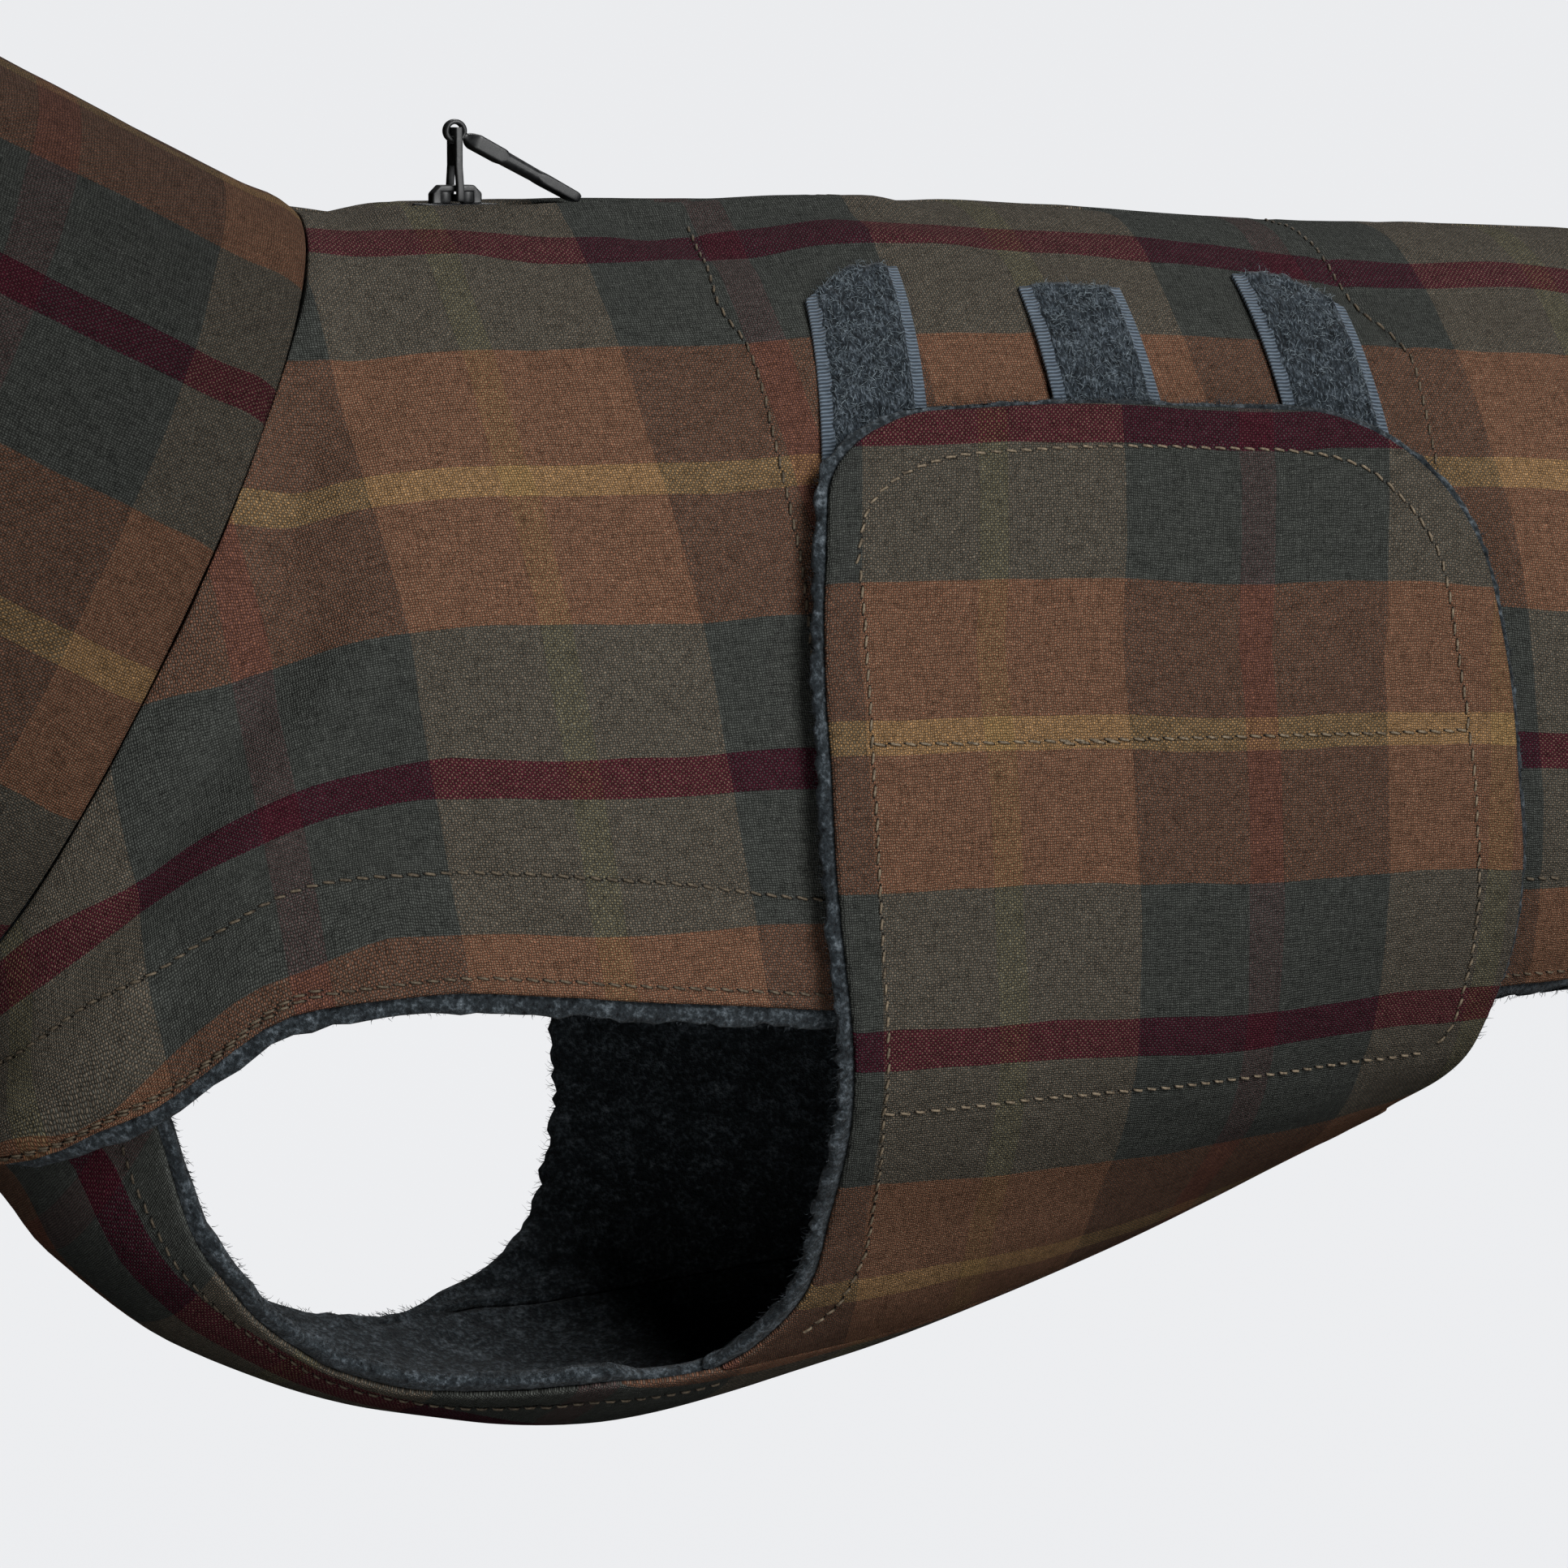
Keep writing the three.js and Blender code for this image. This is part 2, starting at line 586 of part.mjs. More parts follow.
// Zip: a chain in the slot along the centre back
const CHAIN = { low: -1.5, high: 0.7, columns: 12 };
const chainPoint = (level) => (i, j) => {
  const from = ZIP.start + ZIP.endRound;
  const to = ZIP.end - ZIP.endRound;
  const s = from + ((to - from) * i) / CHAIN.columns;
  const point = place("left", s, 0, level);
  point.y = (j * 2 - 1) * ZIP.chain;
  return point;
};
add("zip_chain", wall(CHAIN.columns, 1, chainPoint(CHAIN.low), chainPoint(CHAIN.high)), blackPlastic());

// Slider, link and pull tab, with the sizes seen in side view
const SLIDER = { s: 35, length: 15.5, wide: 8.6, neck: 6, plate: 1.6 };
const BRIDGE = { length: 10, wide: 3.2, height: 3.6, bar: 1.3, gapLength: 6.4, play: 0.5, corner: 1.6 };
const BAR = 1.4; // section of the link's bars
const LINK = {
  height: 14.2, wideFoot: 7.6, wideHead: 5.8, footTo: 1.6, plateFrom: 6.2, plateTo: 10.2,
};
const TAB = {
  eyeOut: 2.3, eyeIn: 1.3, eyeWide: 2.4, length: 28, wide: 5.6, thick: 3, tipThick: 2, slope: 2, fall: 28,
};
const CHAMFER = 1;
const BITE = 0.4; // how far joined pieces reach into each other

// Joins closed geometries into one solid.
function join(...geometries) {
  const solids = geometries.map((geometry) => {
    const bare = geometry.index ? geometry.toNonIndexed() : geometry.clone();
    bare.deleteAttribute("normal");
    bare.deleteAttribute("uv");
    const merged = mergeVertices(bare, 1e-4);
    return new wasm.Manifold(
      new wasm.Mesh({
        numProp: 3,
        vertProperties: merged.getAttribute("position").array,
        triVerts: new Uint32Array(merged.index.array),
      }),
    );
  });
  const mesh = solids.reduce((whole, piece) => whole.add(piece)).getMesh();
  const geometry = new THREE.BufferGeometry();
  geometry.setAttribute("position", new THREE.BufferAttribute(mesh.vertProperties, 3));
  geometry.setIndex(new THREE.BufferAttribute(mesh.triVerts, 1));
  return geometry;
}

// An outline in X and Z, made thick along Y about the centre line.
function sideProfile(shape, thick) {
  const geometry = new THREE.ExtrudeGeometry(shape, { depth: thick, bevelEnabled: false, curveSegments: 5 });
  return geometry.translate(0, 0, -thick / 2).rotateX(Math.PI / 2);
}
const outline = (points) => new THREE.Shape(points.map(([x, y]) => new THREE.Vector2(x, y)));

const sliderFoot = place("left", SLIDER.s, 0, CHAIN.high + SEAM);
const pivotZ = SLIDER.plate + BRIDGE.height - BRIDGE.bar - BRIDGE.play - BAR / 2;

// Top plate, wide at the front and narrower at the rear, with the bridge that holds the link.
function sliderGeometry() {
  const [l, w, n] = [SLIDER.length / 2, SLIDER.wide / 2, SLIDER.neck / 2];
  const plan = outline([
    [-l, -w + CHAMFER],
    [-l + CHAMFER, -w],
    [-CHAMFER, -w],
    [l, -n],
    [l, n],
    [-CHAMFER, w],
    [-l + CHAMFER, w],
    [-l, w - CHAMFER],
  ]);
  const plate = new THREE.ExtrudeGeometry(plan, { depth: SLIDER.plate, bevelEnabled: false });
  const [b, g, c] = [BRIDGE.length / 2, BRIDGE.gapLength / 2, BRIDGE.corner];
  const low = SLIDER.plate - BITE;
  const roof = SLIDER.plate + BRIDGE.height;
  const under = roof - BRIDGE.bar;
  const arch = outline([
    [-b, low],
    [-g, low],
    [-g, under],
    [g, under],
    [g, low],
    [b, low],
    [b, roof - c],
    [b - c, roof],
    [-b + c, roof],
    [-b, roof - c],
  ]);
  return join(plate, sideProfile(arch, BRIDGE.wide));
}

// The link stands across the zip: two legs on a bar, a plate, and a bar at the top for the tab's eye.
function linkGeometry() {
  const [f, h] = [LINK.wideFoot / 2, LINK.wideHead / 2];
  const top = LINK.height - BAR / 2;
  const shape = outline([
    [-f, -BAR / 2],
    [f, -BAR / 2],
    [f, LINK.footTo],
    [h, LINK.plateFrom],
    [h, top],
    [-h, top],
    [-h, LINK.plateFrom],
    [-f, LINK.footTo],
  ]);
  const hole = (points) => new THREE.Path(points.map(([x, y]) => new THREE.Vector2(x, y)));
  const [fi, hi] = [f - BAR, h - BAR];
  const legs = [
    [-fi, BAR / 2],
    [-fi, LINK.footTo],
    [-hi, LINK.plateFrom],
    [hi, LINK.plateFrom],
    [fi, LINK.footTo],
    [fi, BAR / 2],
  ];
  const window = [
    [-hi, LINK.plateTo],
    [-hi, top - BAR],
    [hi, top - BAR],
    [hi, LINK.plateTo],
  ];
  shape.holes.push(hole(legs), hole(window));
  const geometry = new THREE.ExtrudeGeometry(shape, { depth: BAR, bevelEnabled: false });
  return geometry.translate(0, 0, -BAR / 2).rotateX(Math.PI / 2).rotateZ(Math.PI / 2);
}

// The tab: an eye round the link's top bar and a tapering grip.
function tabGeometry() {
  const eye = new THREE.Shape().absarc(0, 0, TAB.eyeOut, 0, 2 * Math.PI, false);
  eye.holes.push(new THREE.Path().absarc(0, 0, TAB.eyeIn, 0, 2 * Math.PI, true));
  const [from, to, thick, tip] = [TAB.eyeOut + BITE, TAB.length, TAB.thick / 2, TAB.tipThick / 2];
  const [low, end] = [thick / 2, tip / 2];
  const grip = outline([
    [from, -low],
    [from + TAB.slope, -thick],
    [to - CHAMFER, -tip],
    [to, -end],
    [to, end],
    [to - CHAMFER, tip],
    [from + TAB.slope, thick],
    [from, low],
  ]);
  const [start, stop] = [TAB.eyeIn + BITE, from + BITE];
  const root = outline([
    [start, -low],
    [stop, -low],
    [stop, low],
    [start, low],
  ]);
  return join(sideProfile(eye, TAB.eyeWide), sideProfile(root, TAB.eyeWide), sideProfile(grip, TAB.wide));
}

const slider = add("zip_slider", sliderGeometry(), blackPlastic());
slider.position.copy(sliderFoot);
const link = add("pull_link", linkGeometry(), blackPlastic());
link.position.copy(sliderFoot).add(new THREE.Vector3(0, 0, pivotZ));
const tab = add("pull_tab", tabGeometry(), blackPlastic());
tab.position.copy(link.position).add(new THREE.Vector3(0, 0, LINK.height - BAR));
tab.rotation.y = THREE.MathUtils.degToRad(TAB.fall);

export default coat;
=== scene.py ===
# Looks of a dog winter coat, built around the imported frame. Sizes are in millimetres until a mesh is made.
# s runs along the back from the neck seam, down runs round the body from the centre back.
import math

import bmesh
import bpy
import numpy as np
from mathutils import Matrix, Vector


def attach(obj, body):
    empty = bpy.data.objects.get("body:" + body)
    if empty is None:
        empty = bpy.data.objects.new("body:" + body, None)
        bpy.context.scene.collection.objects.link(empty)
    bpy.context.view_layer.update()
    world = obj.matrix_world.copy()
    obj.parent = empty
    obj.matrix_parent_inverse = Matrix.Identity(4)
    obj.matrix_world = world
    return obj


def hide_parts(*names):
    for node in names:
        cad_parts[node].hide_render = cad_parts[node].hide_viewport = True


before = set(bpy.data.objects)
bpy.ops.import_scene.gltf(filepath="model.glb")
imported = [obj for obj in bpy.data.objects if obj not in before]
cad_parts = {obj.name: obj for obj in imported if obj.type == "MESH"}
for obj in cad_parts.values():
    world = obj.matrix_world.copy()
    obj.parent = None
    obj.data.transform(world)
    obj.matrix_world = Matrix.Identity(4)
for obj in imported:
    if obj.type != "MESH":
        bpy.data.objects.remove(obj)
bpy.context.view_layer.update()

MM = 0.001
IMAGE = 1932
SENSOR = 36.0
CAMERA = {
    "azimuth": -21.5, "elevation": 6.5, "distance": 1300, "target": (-32, 0, -110.25), "px_per_mm": 6.22,
}

# Driving sizes, the same as the solids' own
# Thickness of the cloth and of the fleece, and the gap at a seam
SHELL = 1.2
FLEECE = 3.0
SEAM = 0.3
# s of the origin, and the power of the rounded sections
HELD_AT = 135
ROUNDNESS = 2.15
BACK_LENGTH = 480
HEM_CORNER = {"length": 95, "rise": 0.42, "from": 182}
HIDDEN_ROW = 0.5
MOST_SLANT = 2.0
FREE_FROM = {"s": 16, "run": 7}
COLLAR = {"height": 118, "puff": 0.3, "puff_at": 12, "flare": 0.9, "flare_from": 0.55}
ZIP = {"start": 22, "end": 116, "slot": 4.8, "end_round": 5}
WELT = {"high": 2.2, "at": 9, "wide": 5.5, "run": 14}
WING = {"top": 75, "lift": 6.9, "lift_from": 6, "settle": 44, "foot": 2}
WING_PROUD = {"front": 0.9, "rear": 0.5, "top": 0.5}
STRIP_LINING = {"left": 98, "right": 89, "fade": 8}
WING_CORNERS = {"front": (22, 16), "rear": (33, 30)}
CHEST_TUCK = {"depth": 6.3, "overlap": 4, "full": 7, "length": 16}
PILE = {"gap": 0.5, "thick": 1.5}
SELVAGE = {"wide": 2.3, "rib": 0.78, "thick": 0.75}
LEVEL = FLEECE + SEAM / 2
OUTSIDE = SEAM / 2 + SHELL

# s, rise, keel s, drop, half width, share of the way down that is widest
SECTIONS = [
    (0, 0.2, -74, -147, 54, 0.48), (12, -1, -71, -176, 59.5, 0.5), (30, -0.8, -53, -191, 66, 0.52),
    (50, -0.8, -24, -214.8, 71, 0.53), (75, -1, 15, -230.2, 75, 0.54), (105, -0.2, 55, -236, 77, 0.54),
    (135, 0, 105, -226.8, 77, 0.53), (170, -1.6, 158, -211.2, 75, 0.52), (210, -4.2, 206, -192.8, 71, 0.5),
    (245, -5.3, 245, -178, 67, 0.5), (275, -7.1, 275, -168, 64, 0.5), (320, -8.4, 320, -158, 62.5, 0.5),
    (380, -10.4, 378, -150, 61.5, 0.5), (440, -14.4, 436, -143, 59.5, 0.5), (490, -20.4, 484, -137, 57, 0.5),
]
CENTRE_FRONT_END = 11.5
# s, down
BACK_EDGE = [
    (11.5, 252), (17, 233), (22, 225), (25, 218), (30, 210), (33, 201), (35, 194), (38, 188.5), (43, 185.2),
    (49, 183.2), (58, 181.7), (70, 182.2), (87, 184.2), (113, 187), (170, 188.5), (237, 188), (254, 188),
    (285, 183), (325, 169), (370, 151), (420, 133), (480, 116),
]
# s, up from the keel line on the left, on the right
STRIP_HALF = [
    (20, 63, 63), (29.5, 57.5, 57.5), (34.5, 51.5, 51.5), (40.5, 45.5, 45.5), (46, 42.5, 42.5),
    (53, 36.5, 36.5), (58.5, 33.5, 33.5), (64, 31, 31), (71.5, 31, 30.5), (79, 33.5, 31.5),
    (86.5, 37.5, 35), (94.5, 42, 40), (102, 44.5, 42.5), (114, 44, 41.5), (122, 42, 40),
    (134, 36.5, 36), (155, 31, 31), (232, 27, 27),
]
# up, s
STRIP_FRONT = [(0, 11.5), (28, 17), (42, 22), (52, 25), (64, 29.5)]
STRIP_REAR = (223, 225)
# down, s on the left, on the right
WING_FRONT = [
    (75, 95.5, 95.5), (88, 96, 96), (110, 97, 97), (126, 99, 99), (141, 102, 102), (157, 105, 105),
    (172, 108.5, 108.5), (188, 112.5, 112), (211, 117, 115), (226, 119, 115.5), (248, 121, 113),
    (266, 118, 104.5), (271.5, 115.3, 96), (279, 111.6, 86),
]
# down, s
WING_REAR = [
    (75, 217), (98, 219.5), (111, 221.8), (125, 224.3), (141, 226.3), (159, 229), (172, 229.5),
    (182, 228.8), (193, 227.4), (222, 224.5),
]
# top, bottom, front edge at the top, front edge at the bottom, width, corner cut at the front, at the rear
LOOP_STRIPS = [
    (38.5, 89, 94, 96.5, 20, 8, 0), (45.5, 92, 136.5, 141, 20.5, 0, 0), (40, 93, 182, 185.5, 21, 0, 8),
]
# Largest soft folds: s and down of each end, width, depth
FOLDS = [
    (6, 60, 26, 150, 9, 1.5), (16, 150, 4, 205, 9, 2.2), (34, 120, 28, 186, 10, 1.6),
    (258, 20, 300, 120, 15, 1.8), (330, 30, 372, 120, 17, 2.0),
]

# Shallow creases in the outer cloth, in the same columns: negative depths are ridges
CREASES = [
    (20, 104, 9, 172, 5.5, 1.25), (29, 112, 21, 190, 5.5, -0.7), (21, 168, 29, 203, 4, 1.1),
    (9, 190, 16, 226, 4, -0.6), (7, 70, 12, 104, 4.5, 0.8), (3, 36, 10, 66, 4, -0.5),
    (44, 150, 66, 176, 4, 0.35), (56, 96, 84, 124, 7, 0.4), (62, 20, 92, 34, 5, 0.45),
    (100, 22, 128, 30, 5, -0.4), (140, 96, 150, 150, 6, 0.4), (222, 96, 236, 140, 6, 0.5),
    (240, 60, 262, 96, 7, -0.5), (290, 96, 316, 150, 8, 0.6), (350, 40, 364, 96, 9, -0.6),
    (400, 20, 430, 90, 8, 0.6),
]
WING_CREASES = [
    (108, 100, 118, 150, 5, 0.4), (122, 226, 150, 262, 6, 0.5), (134, 214, 158, 244, 5, -0.45),
    (196, 96, 214, 128, 5, 0.4), (176, 190, 214, 206, 5, 0.4), (150, 150, 158, 196, 7, -0.35),
]
# The back panel's creases are this much deeper, and this much of a crease leaves the layers below flat
CREASE = {"deep": 2.6, "free": 0.7}
# Radius of the rolled edges
EDGE_ROLL = 1.2
COLLAR_ROLL = 1.4


def through(rows, value=1, key=0):
    """A smooth curve through a table's rows that never overshoots them."""
    x = np.array([row[key] for row in rows], float)
    y = np.array([row[value] for row in rows], float)
    step = np.diff(x)
    slope = np.diff(y) / step
    tangent = np.zeros(len(x))
    tangent[0], tangent[-1] = slope[0], slope[-1]
    for i in range(1, len(x) - 1):
        if slope[i - 1] * slope[i] > 0:
            before, after = 2 * step[i] + step[i - 1], step[i] + 2 * step[i - 1]
            tangent[i] = (before + after) / (before / slope[i - 1] + after / slope[i])

    def curve(at):
        at = np.asarray(at, float)
        i = np.clip(np.searchsorted(x, at) - 1, 0, len(step) - 1)
        t = (at - x[i]) / step[i]
        inside = (
            (1 + 2 * t) * (1 - t) ** 2 * y[i] + t * (1 - t) ** 2 * step[i] * tangent[i]
            + t * t * (3 - 2 * t) * y[i + 1] + t * t * (t - 1) * step[i] * tangent[i + 1]
        )
        low = y[0] + (at - x[0]) * tangent[0]
        high = y[-1] + (at - x[-1]) * tangent[-1]
        return np.where(at < x[0], low, np.where(at > x[-1], high, inside))

    return curve


def smooth(value):
    t = np.clip(value, 0, 1)
    return t * t * (3 - 2 * t)


def unit(vectors):
    return vectors / np.maximum(1e-9, np.linalg.norm(vectors, axis=-1, keepdims=True))


def run_along(points, axis=0):
    """Length run along one axis of a grid of points, from 0."""
    steps = np.linalg.norm(np.diff(points, axis=axis), axis=-1)
    start = np.zeros_like(np.take(steps, [0], axis=axis))
    return np.concatenate([start, np.cumsum(steps, axis=axis)], axis=axis)


def around(count, start=0):
    """Evenly spaced angles round a circle."""
    return (np.arange(count) + start) * 2 * math.pi / count


def noise(x, y, seed):
    """Smooth noise from -1 to 1 that repeats far outside any piece."""
    table = np.random.default_rng(seed).uniform(-1, 1, (256, 256))
    x, y = np.broadcast_arrays(np.asarray(x, float), np.asarray(y, float))
    i, j = np.floor(x).astype(int), np.floor(y).astype(int)
    a, b = smooth(x - i), smooth(y - j)
    at = lambda di, dj: table[(i + di) % 256, (j + dj) % 256]
    return (1 - a) * ((1 - b) * at(0, 0) + b * at(0, 1)) + a * ((1 - b) * at(1, 0) + b * at(1, 1))


# The worn body's surface, which runs between the shell and the lining
rise, keel_s, drop, half_width, widest = (through(SECTIONS, value) for value in range(1, 6))
S_FROM, S_TO, S_STEP, TURNS = -12, 502, 1.0, 320
S_LINE = np.arange(S_FROM, S_TO + S_STEP, S_STEP)


def on_section(s, turn):
    """The point of the left side at s, turn radians round from the centre back."""
    c = np.cos(turn)
    flat = np.abs(c) ** (2 / ROUNDNESS)
    middle = widest(s)
    share = np.where(c > 0, middle * (1 - flat), middle + (1 - middle) * flat)
    top, keel = s - HELD_AT, keel_s(s) - HELD_AT
    x = top + (keel - top) * share
    z = LEVEL + rise(s) + (drop(s) - rise(s)) * share
    y = -half_width(s) * np.maximum(0, np.sin(turn)) ** (2 / ROUNDNESS)
    return np.stack(np.broadcast_arrays(x, y, z), -1)


turns = np.linspace(0, math.pi, TURNS + 1)
lines = on_section(S_LINE[:, None], turns[None, :])
lengths = run_along(lines, 1)
GIRTH = lengths[:, -1]
TURN_OF = np.array([np.interp(np.linspace(0, g, TURNS + 1), row, turns) for g, row in zip(GIRTH, lengths)])


def half_girth(s):
    return np.interp(s, S_LINE, GIRTH)


def from_table(table, row, column):
    """Value of a table between its rows and columns."""
    row = np.clip(row, 0, table.shape[0] - 1.001)
    column = np.clip(column, 0, table.shape[1] - 1.001)
    i, j = np.floor(row).astype(int), np.floor(column).astype(int)
    a, b = row - i, column - j
    return (1 - a) * ((1 - b) * table[i, j] + b * table[i, j + 1]) + a * (
        (1 - b) * table[i + 1, j] + b * table[i + 1, j + 1]
    )


def body_point(s, down):
    """The left side's point, and past the centre line or the keel the right side's."""
    s, down = np.broadcast_arrays(np.asarray(s, float), np.asarray(down, float))
    total = half_girth(s)
    sign = np.where((down < 0) | (down > total), -1.0, 1.0)
    along = np.abs(down)
    along = np.where(along > total, 2 * total - along, along)
    turn = from_table(TURN_OF, (s - S_FROM) / S_STEP, along / total * TURNS)
    point = on_section(s, turn)
    point[..., 1] *= sign
    return point


def body_normal(s, down, probe=1.0):
    along = body_point(s + probe, down) - body_point(s - probe, down)
    round_it = body_point(s, down + probe) - body_point(s, down - probe)
    return unit(-np.cross(along, round_it))


neck_top = on_section(np.array(0.0), np.array(0.0))
neck_keel = on_section(np.array(0.0), np.array(math.pi))
neck_axis = unit(np.array([neck_keel[2] - neck_top[2], 0, neck_top[0] - neck_keel[0]]))
neck_middle = (neck_top + neck_keel) / 2
SIDES = {"left": 1, "right": -1}


def place(side, s, down, lift):
    """A place on the body moved out by lift, kept behind the neck seam, and mirrored on the right side."""
    lift = np.asarray(lift, float)
    point = body_point(s, down) + body_normal(s, down) * lift[..., None]
    ahead = (point - neck_top) @ neck_axis + SEAM
    point -= np.maximum(0, ahead)[..., None] * neck_axis
    point[..., 1] *= SIDES[side]
    return point


# Panel outlines
back_edge = through(BACK_EDGE)
strip_half = {"left": through(STRIP_HALF, 1), "right": through(STRIP_HALF, 2)}
strip_front = through(STRIP_FRONT)
wing_front = {"left": through(WING_FRONT, 1), "right": through(WING_FRONT, 2)}
wing_rear = through(WING_REAR)


def lower_edge(s):
    limit = half_girth(s) - SEAM / 2
    return np.where(s <= CENTRE_FRONT_END, limit, np.minimum(limit, back_edge(s)))


def edge_slope(s):
    return lower_edge(s + 0.5) - lower_edge(s - 0.5)


def zip_opened(s):
    """How far the zip's slot is open at s, from 0 at its ends to 1."""
    return smooth((s - ZIP["start"]) / ZIP["end_round"]) * smooth((ZIP["end"] - s) / ZIP["end_round"])


def centre_edge(s):
    return SEAM / 2 + (ZIP["slot"] - SEAM / 2) * zip_opened(s)


def relief(s, down):
    """Welts beside the zip and the soft folds."""
    run = WELT["run"]
    zip_length = smooth((s - ZIP["start"] + run) / run) * smooth((ZIP["end"] + run - s) / run)
    height = WELT["high"] * zip_length * np.exp(-(((down - WELT["at"]) / WELT["wide"]) ** 2))
    return height + troughs(FOLDS, s, down)


def troughs(rows, s, down):
    """Height of the cloth in soft troughs, each a row of ends, width and depth."""
    height = 0 * (s + down)
    for s1, down1, s2, down2, wide, deep in rows:
        ds, dd = s2 - s1, down2 - down1
        length = math.hypot(ds, dd)
        t = ((s - s1) * ds + (down - down1) * dd) / length**2
        off = ((s - s1) * dd - (down - down1) * ds) / length
        ends = smooth((t + 0.25) / 0.5) * smooth((1.25 - t) / 0.5)
        height = height - deep * ends * np.exp(-((off / wide) ** 2))
    return height


def hem_line(share):
    start = 1 - HEM_CORNER["rise"]
    t = np.clip((share - start) / HEM_CORNER["rise"], 0, 1)
    return HEM_CORNER["length"] * (1 - np.sqrt(1 - t * t))


def back_place(base, share, proud=0.0):
    """s and down on the back panel. base runs to the tail hem, share from the centre to the lower edge."""
    squeeze = hem_line(share) / (BACK_LENGTH - HEM_CORNER["from"])
    s = base - np.maximum(0, base - HEM_CORNER["from"]) * squeeze
    inner = centre_edge(s)
    free = smooth((s - FREE_FROM["s"]) / FREE_FROM["run"])
    reach = proud * np.minimum(MOST_SLANT, np.hypot(1, edge_slope(s)))
    edge = lower_edge(s) + np.where(proud > 0, reach * free - HIDDEN_ROW * (1 - free), 0)
    return s, inner + (edge - inner) * share


def strip_reach(s, across):
    """How far up the strip reaches at s, on the side that across lies on."""
    return np.where(across <= 0, strip_half["left"](s), strip_half["right"](s))


def strip_edge_away(s, across):
    """Distance from the strip's nearer side edge."""
    return (1 - np.abs(across)) * strip_reach(s, across)


def strip_place(along, across):
    share = np.abs(across)
    front = strip_front(STRIP_HALF[0][1] * share) - CHEST_TUCK["overlap"]
    rear = STRIP_REAR[0] + (STRIP_REAR[1] - STRIP_REAR[0]) * share
    s = front + (rear - front) * along
    return s, (strip_reach(s, across) - SEAM / 2) * share


def tuck(s, up):
    behind = s - strip_front(up) - CHEST_TUCK["full"]
    return -CHEST_TUCK["depth"] * (1 - smooth(behind / CHEST_TUCK["length"]))


def corner_in(corner, below):
    wide, deep = WING_CORNERS[corner]
    t = 1 - np.clip(below, 0, deep) / deep
    return wide * (1 - np.sqrt(1 - t * t))


def wing_foot(side, s):
    return half_girth(s) - strip_half[side](s) - SEAM / 2


EDGE_STEPS = 12


def wing_edge(side, edge, share):
    """s of the front or rear edge at a share of the way down, found by stepping towards it."""
    table, sign = (wing_front[side], 1) if edge == "front" else (wing_rear, -1)
    s = table(WING["top"]) + 0 * share
    for _ in range(EDGE_STEPS):
        down = WING["top"] + (wing_foot(side, s) - WING["top"]) * share
        s = table(down) + sign * corner_in(edge, down - WING["top"])
    return s


def wing_lift(side, s, down):
    start = lower_edge(s) + WING["lift_from"]
    length = np.minimum(WING["settle"], wing_foot(side, s) - WING["foot"] - start)
    return WING["lift"] * (1 - smooth((down - start) / length))


def wing_place(side, along, share, proud=0.0):
    """s and down on a wing. proud draws the front, rear and top edges out for the fleece."""
    front = wing_edge(side, "front", share) - proud * WING_PROUD["front"]
    rear = wing_edge(side, "rear", share) + proud * WING_PROUD["rear"]
    s = front + (rear - front) * along
    top = WING["top"] - proud * WING_PROUD["top"]
    return s, top + (wing_foot(side, s) - top) * share


def collar_point(turn, along, level):
    total = GIRTH[int(round(-S_FROM / S_STEP))]
    down = total * np.where(turn <= 0.5, 2 * turn, 2 - 2 * turn)
    point = body_point(np.zeros_like(down), down)
    out = unit(point - neck_middle)
    puff = COLLAR["puff"] * smooth(along / COLLAR["puff_at"])
    start = COLLAR["flare_from"]
    flare = COLLAR["flare"] * smooth((along / COLLAR["height"] - start) / (1 - start))
    point = point + out * (puff + flare + level)[..., None] + neck_axis * along[..., None]
    point[..., 1] *= np.where(turn <= 0.5, 1, -1)
    return point, down


# How far along the cloth a place is, at a constant distance down
D_STEP = 2.0
D_LINE = np.arange(0, 300 + D_STEP, D_STEP)
rows_of_body = body_point(S_LINE[:, None], np.minimum(D_LINE[None, :], GIRTH[:, None]))
ALONG = run_along(rows_of_body)


def along_cloth(s, down):
    return from_table(ALONG, (np.asarray(s, float) - S_FROM) / S_STEP, np.asarray(down, float) / D_STEP)


# Check of the cloth: half a repeat, from the middle of the gold stripe to the middle of the maroon one
SETT = {"half": 57.5, "gold": 3, "rust": 28, "green": 53.5}
# Where the gold stripes of the check lie on each piece, and how they lean
GOLD_ROW = 83.3
LEG_BEND = {"from": 160, "slope": 0.42, "s": 12, "run": 15, "end": 42, "end_run": 20}
LEG_RISE = {"by": 3.5, "from": 150, "run": 25, "front": 2.8, "s": 30, "front_run": 10}
# s and the unshifted row where the lower edge of the upper maroon stripe lies
UPPER_MAROON = [
    (7, -55.5), (26, -54.5), (53, -50), (82, -52), (107, -53.2), (147, -49.3), (180, -47.6), (214, -45),
    (251, -46.8),
]
UPPER_MAROON_RUN = {"fade": 17, "stretch": 0.81}
GOLD_COLUMN = {"s": 24.2, "lean": 0.345, "from": 60}
NECK_BEND = {"amount": 0.0034, "s": 45, "power": 1.3, "from": 60}
REAR_DRIFT = {"amount": 0.06, "s": 100, "run": 136, "row": 72}
WING_GOLD = {"row": 135.6, "rear_row": 132, "rear_s": 165, "rear_run": 50}
WING_WEAVE = {"warp": 1.06, "weft": 1.012, "shrink": 0.0006, "from": 100}
WING_COLUMN = {"s": 125.4, "from": 119, "lean": 0.149}
COLUMN_SHIFT = [(0, 0), (60, 0.6), (80, 1.3), (110, 2.6), (125, 2.2), (188, 0.5), (300, 0)]
COLLAR_MAROON = {"row": 66.2, "above": 0.91, "below": 0.965}
COLLAR_COLUMN = {"gold": -10.5, "green": 17.5, "stretch": 1.2}
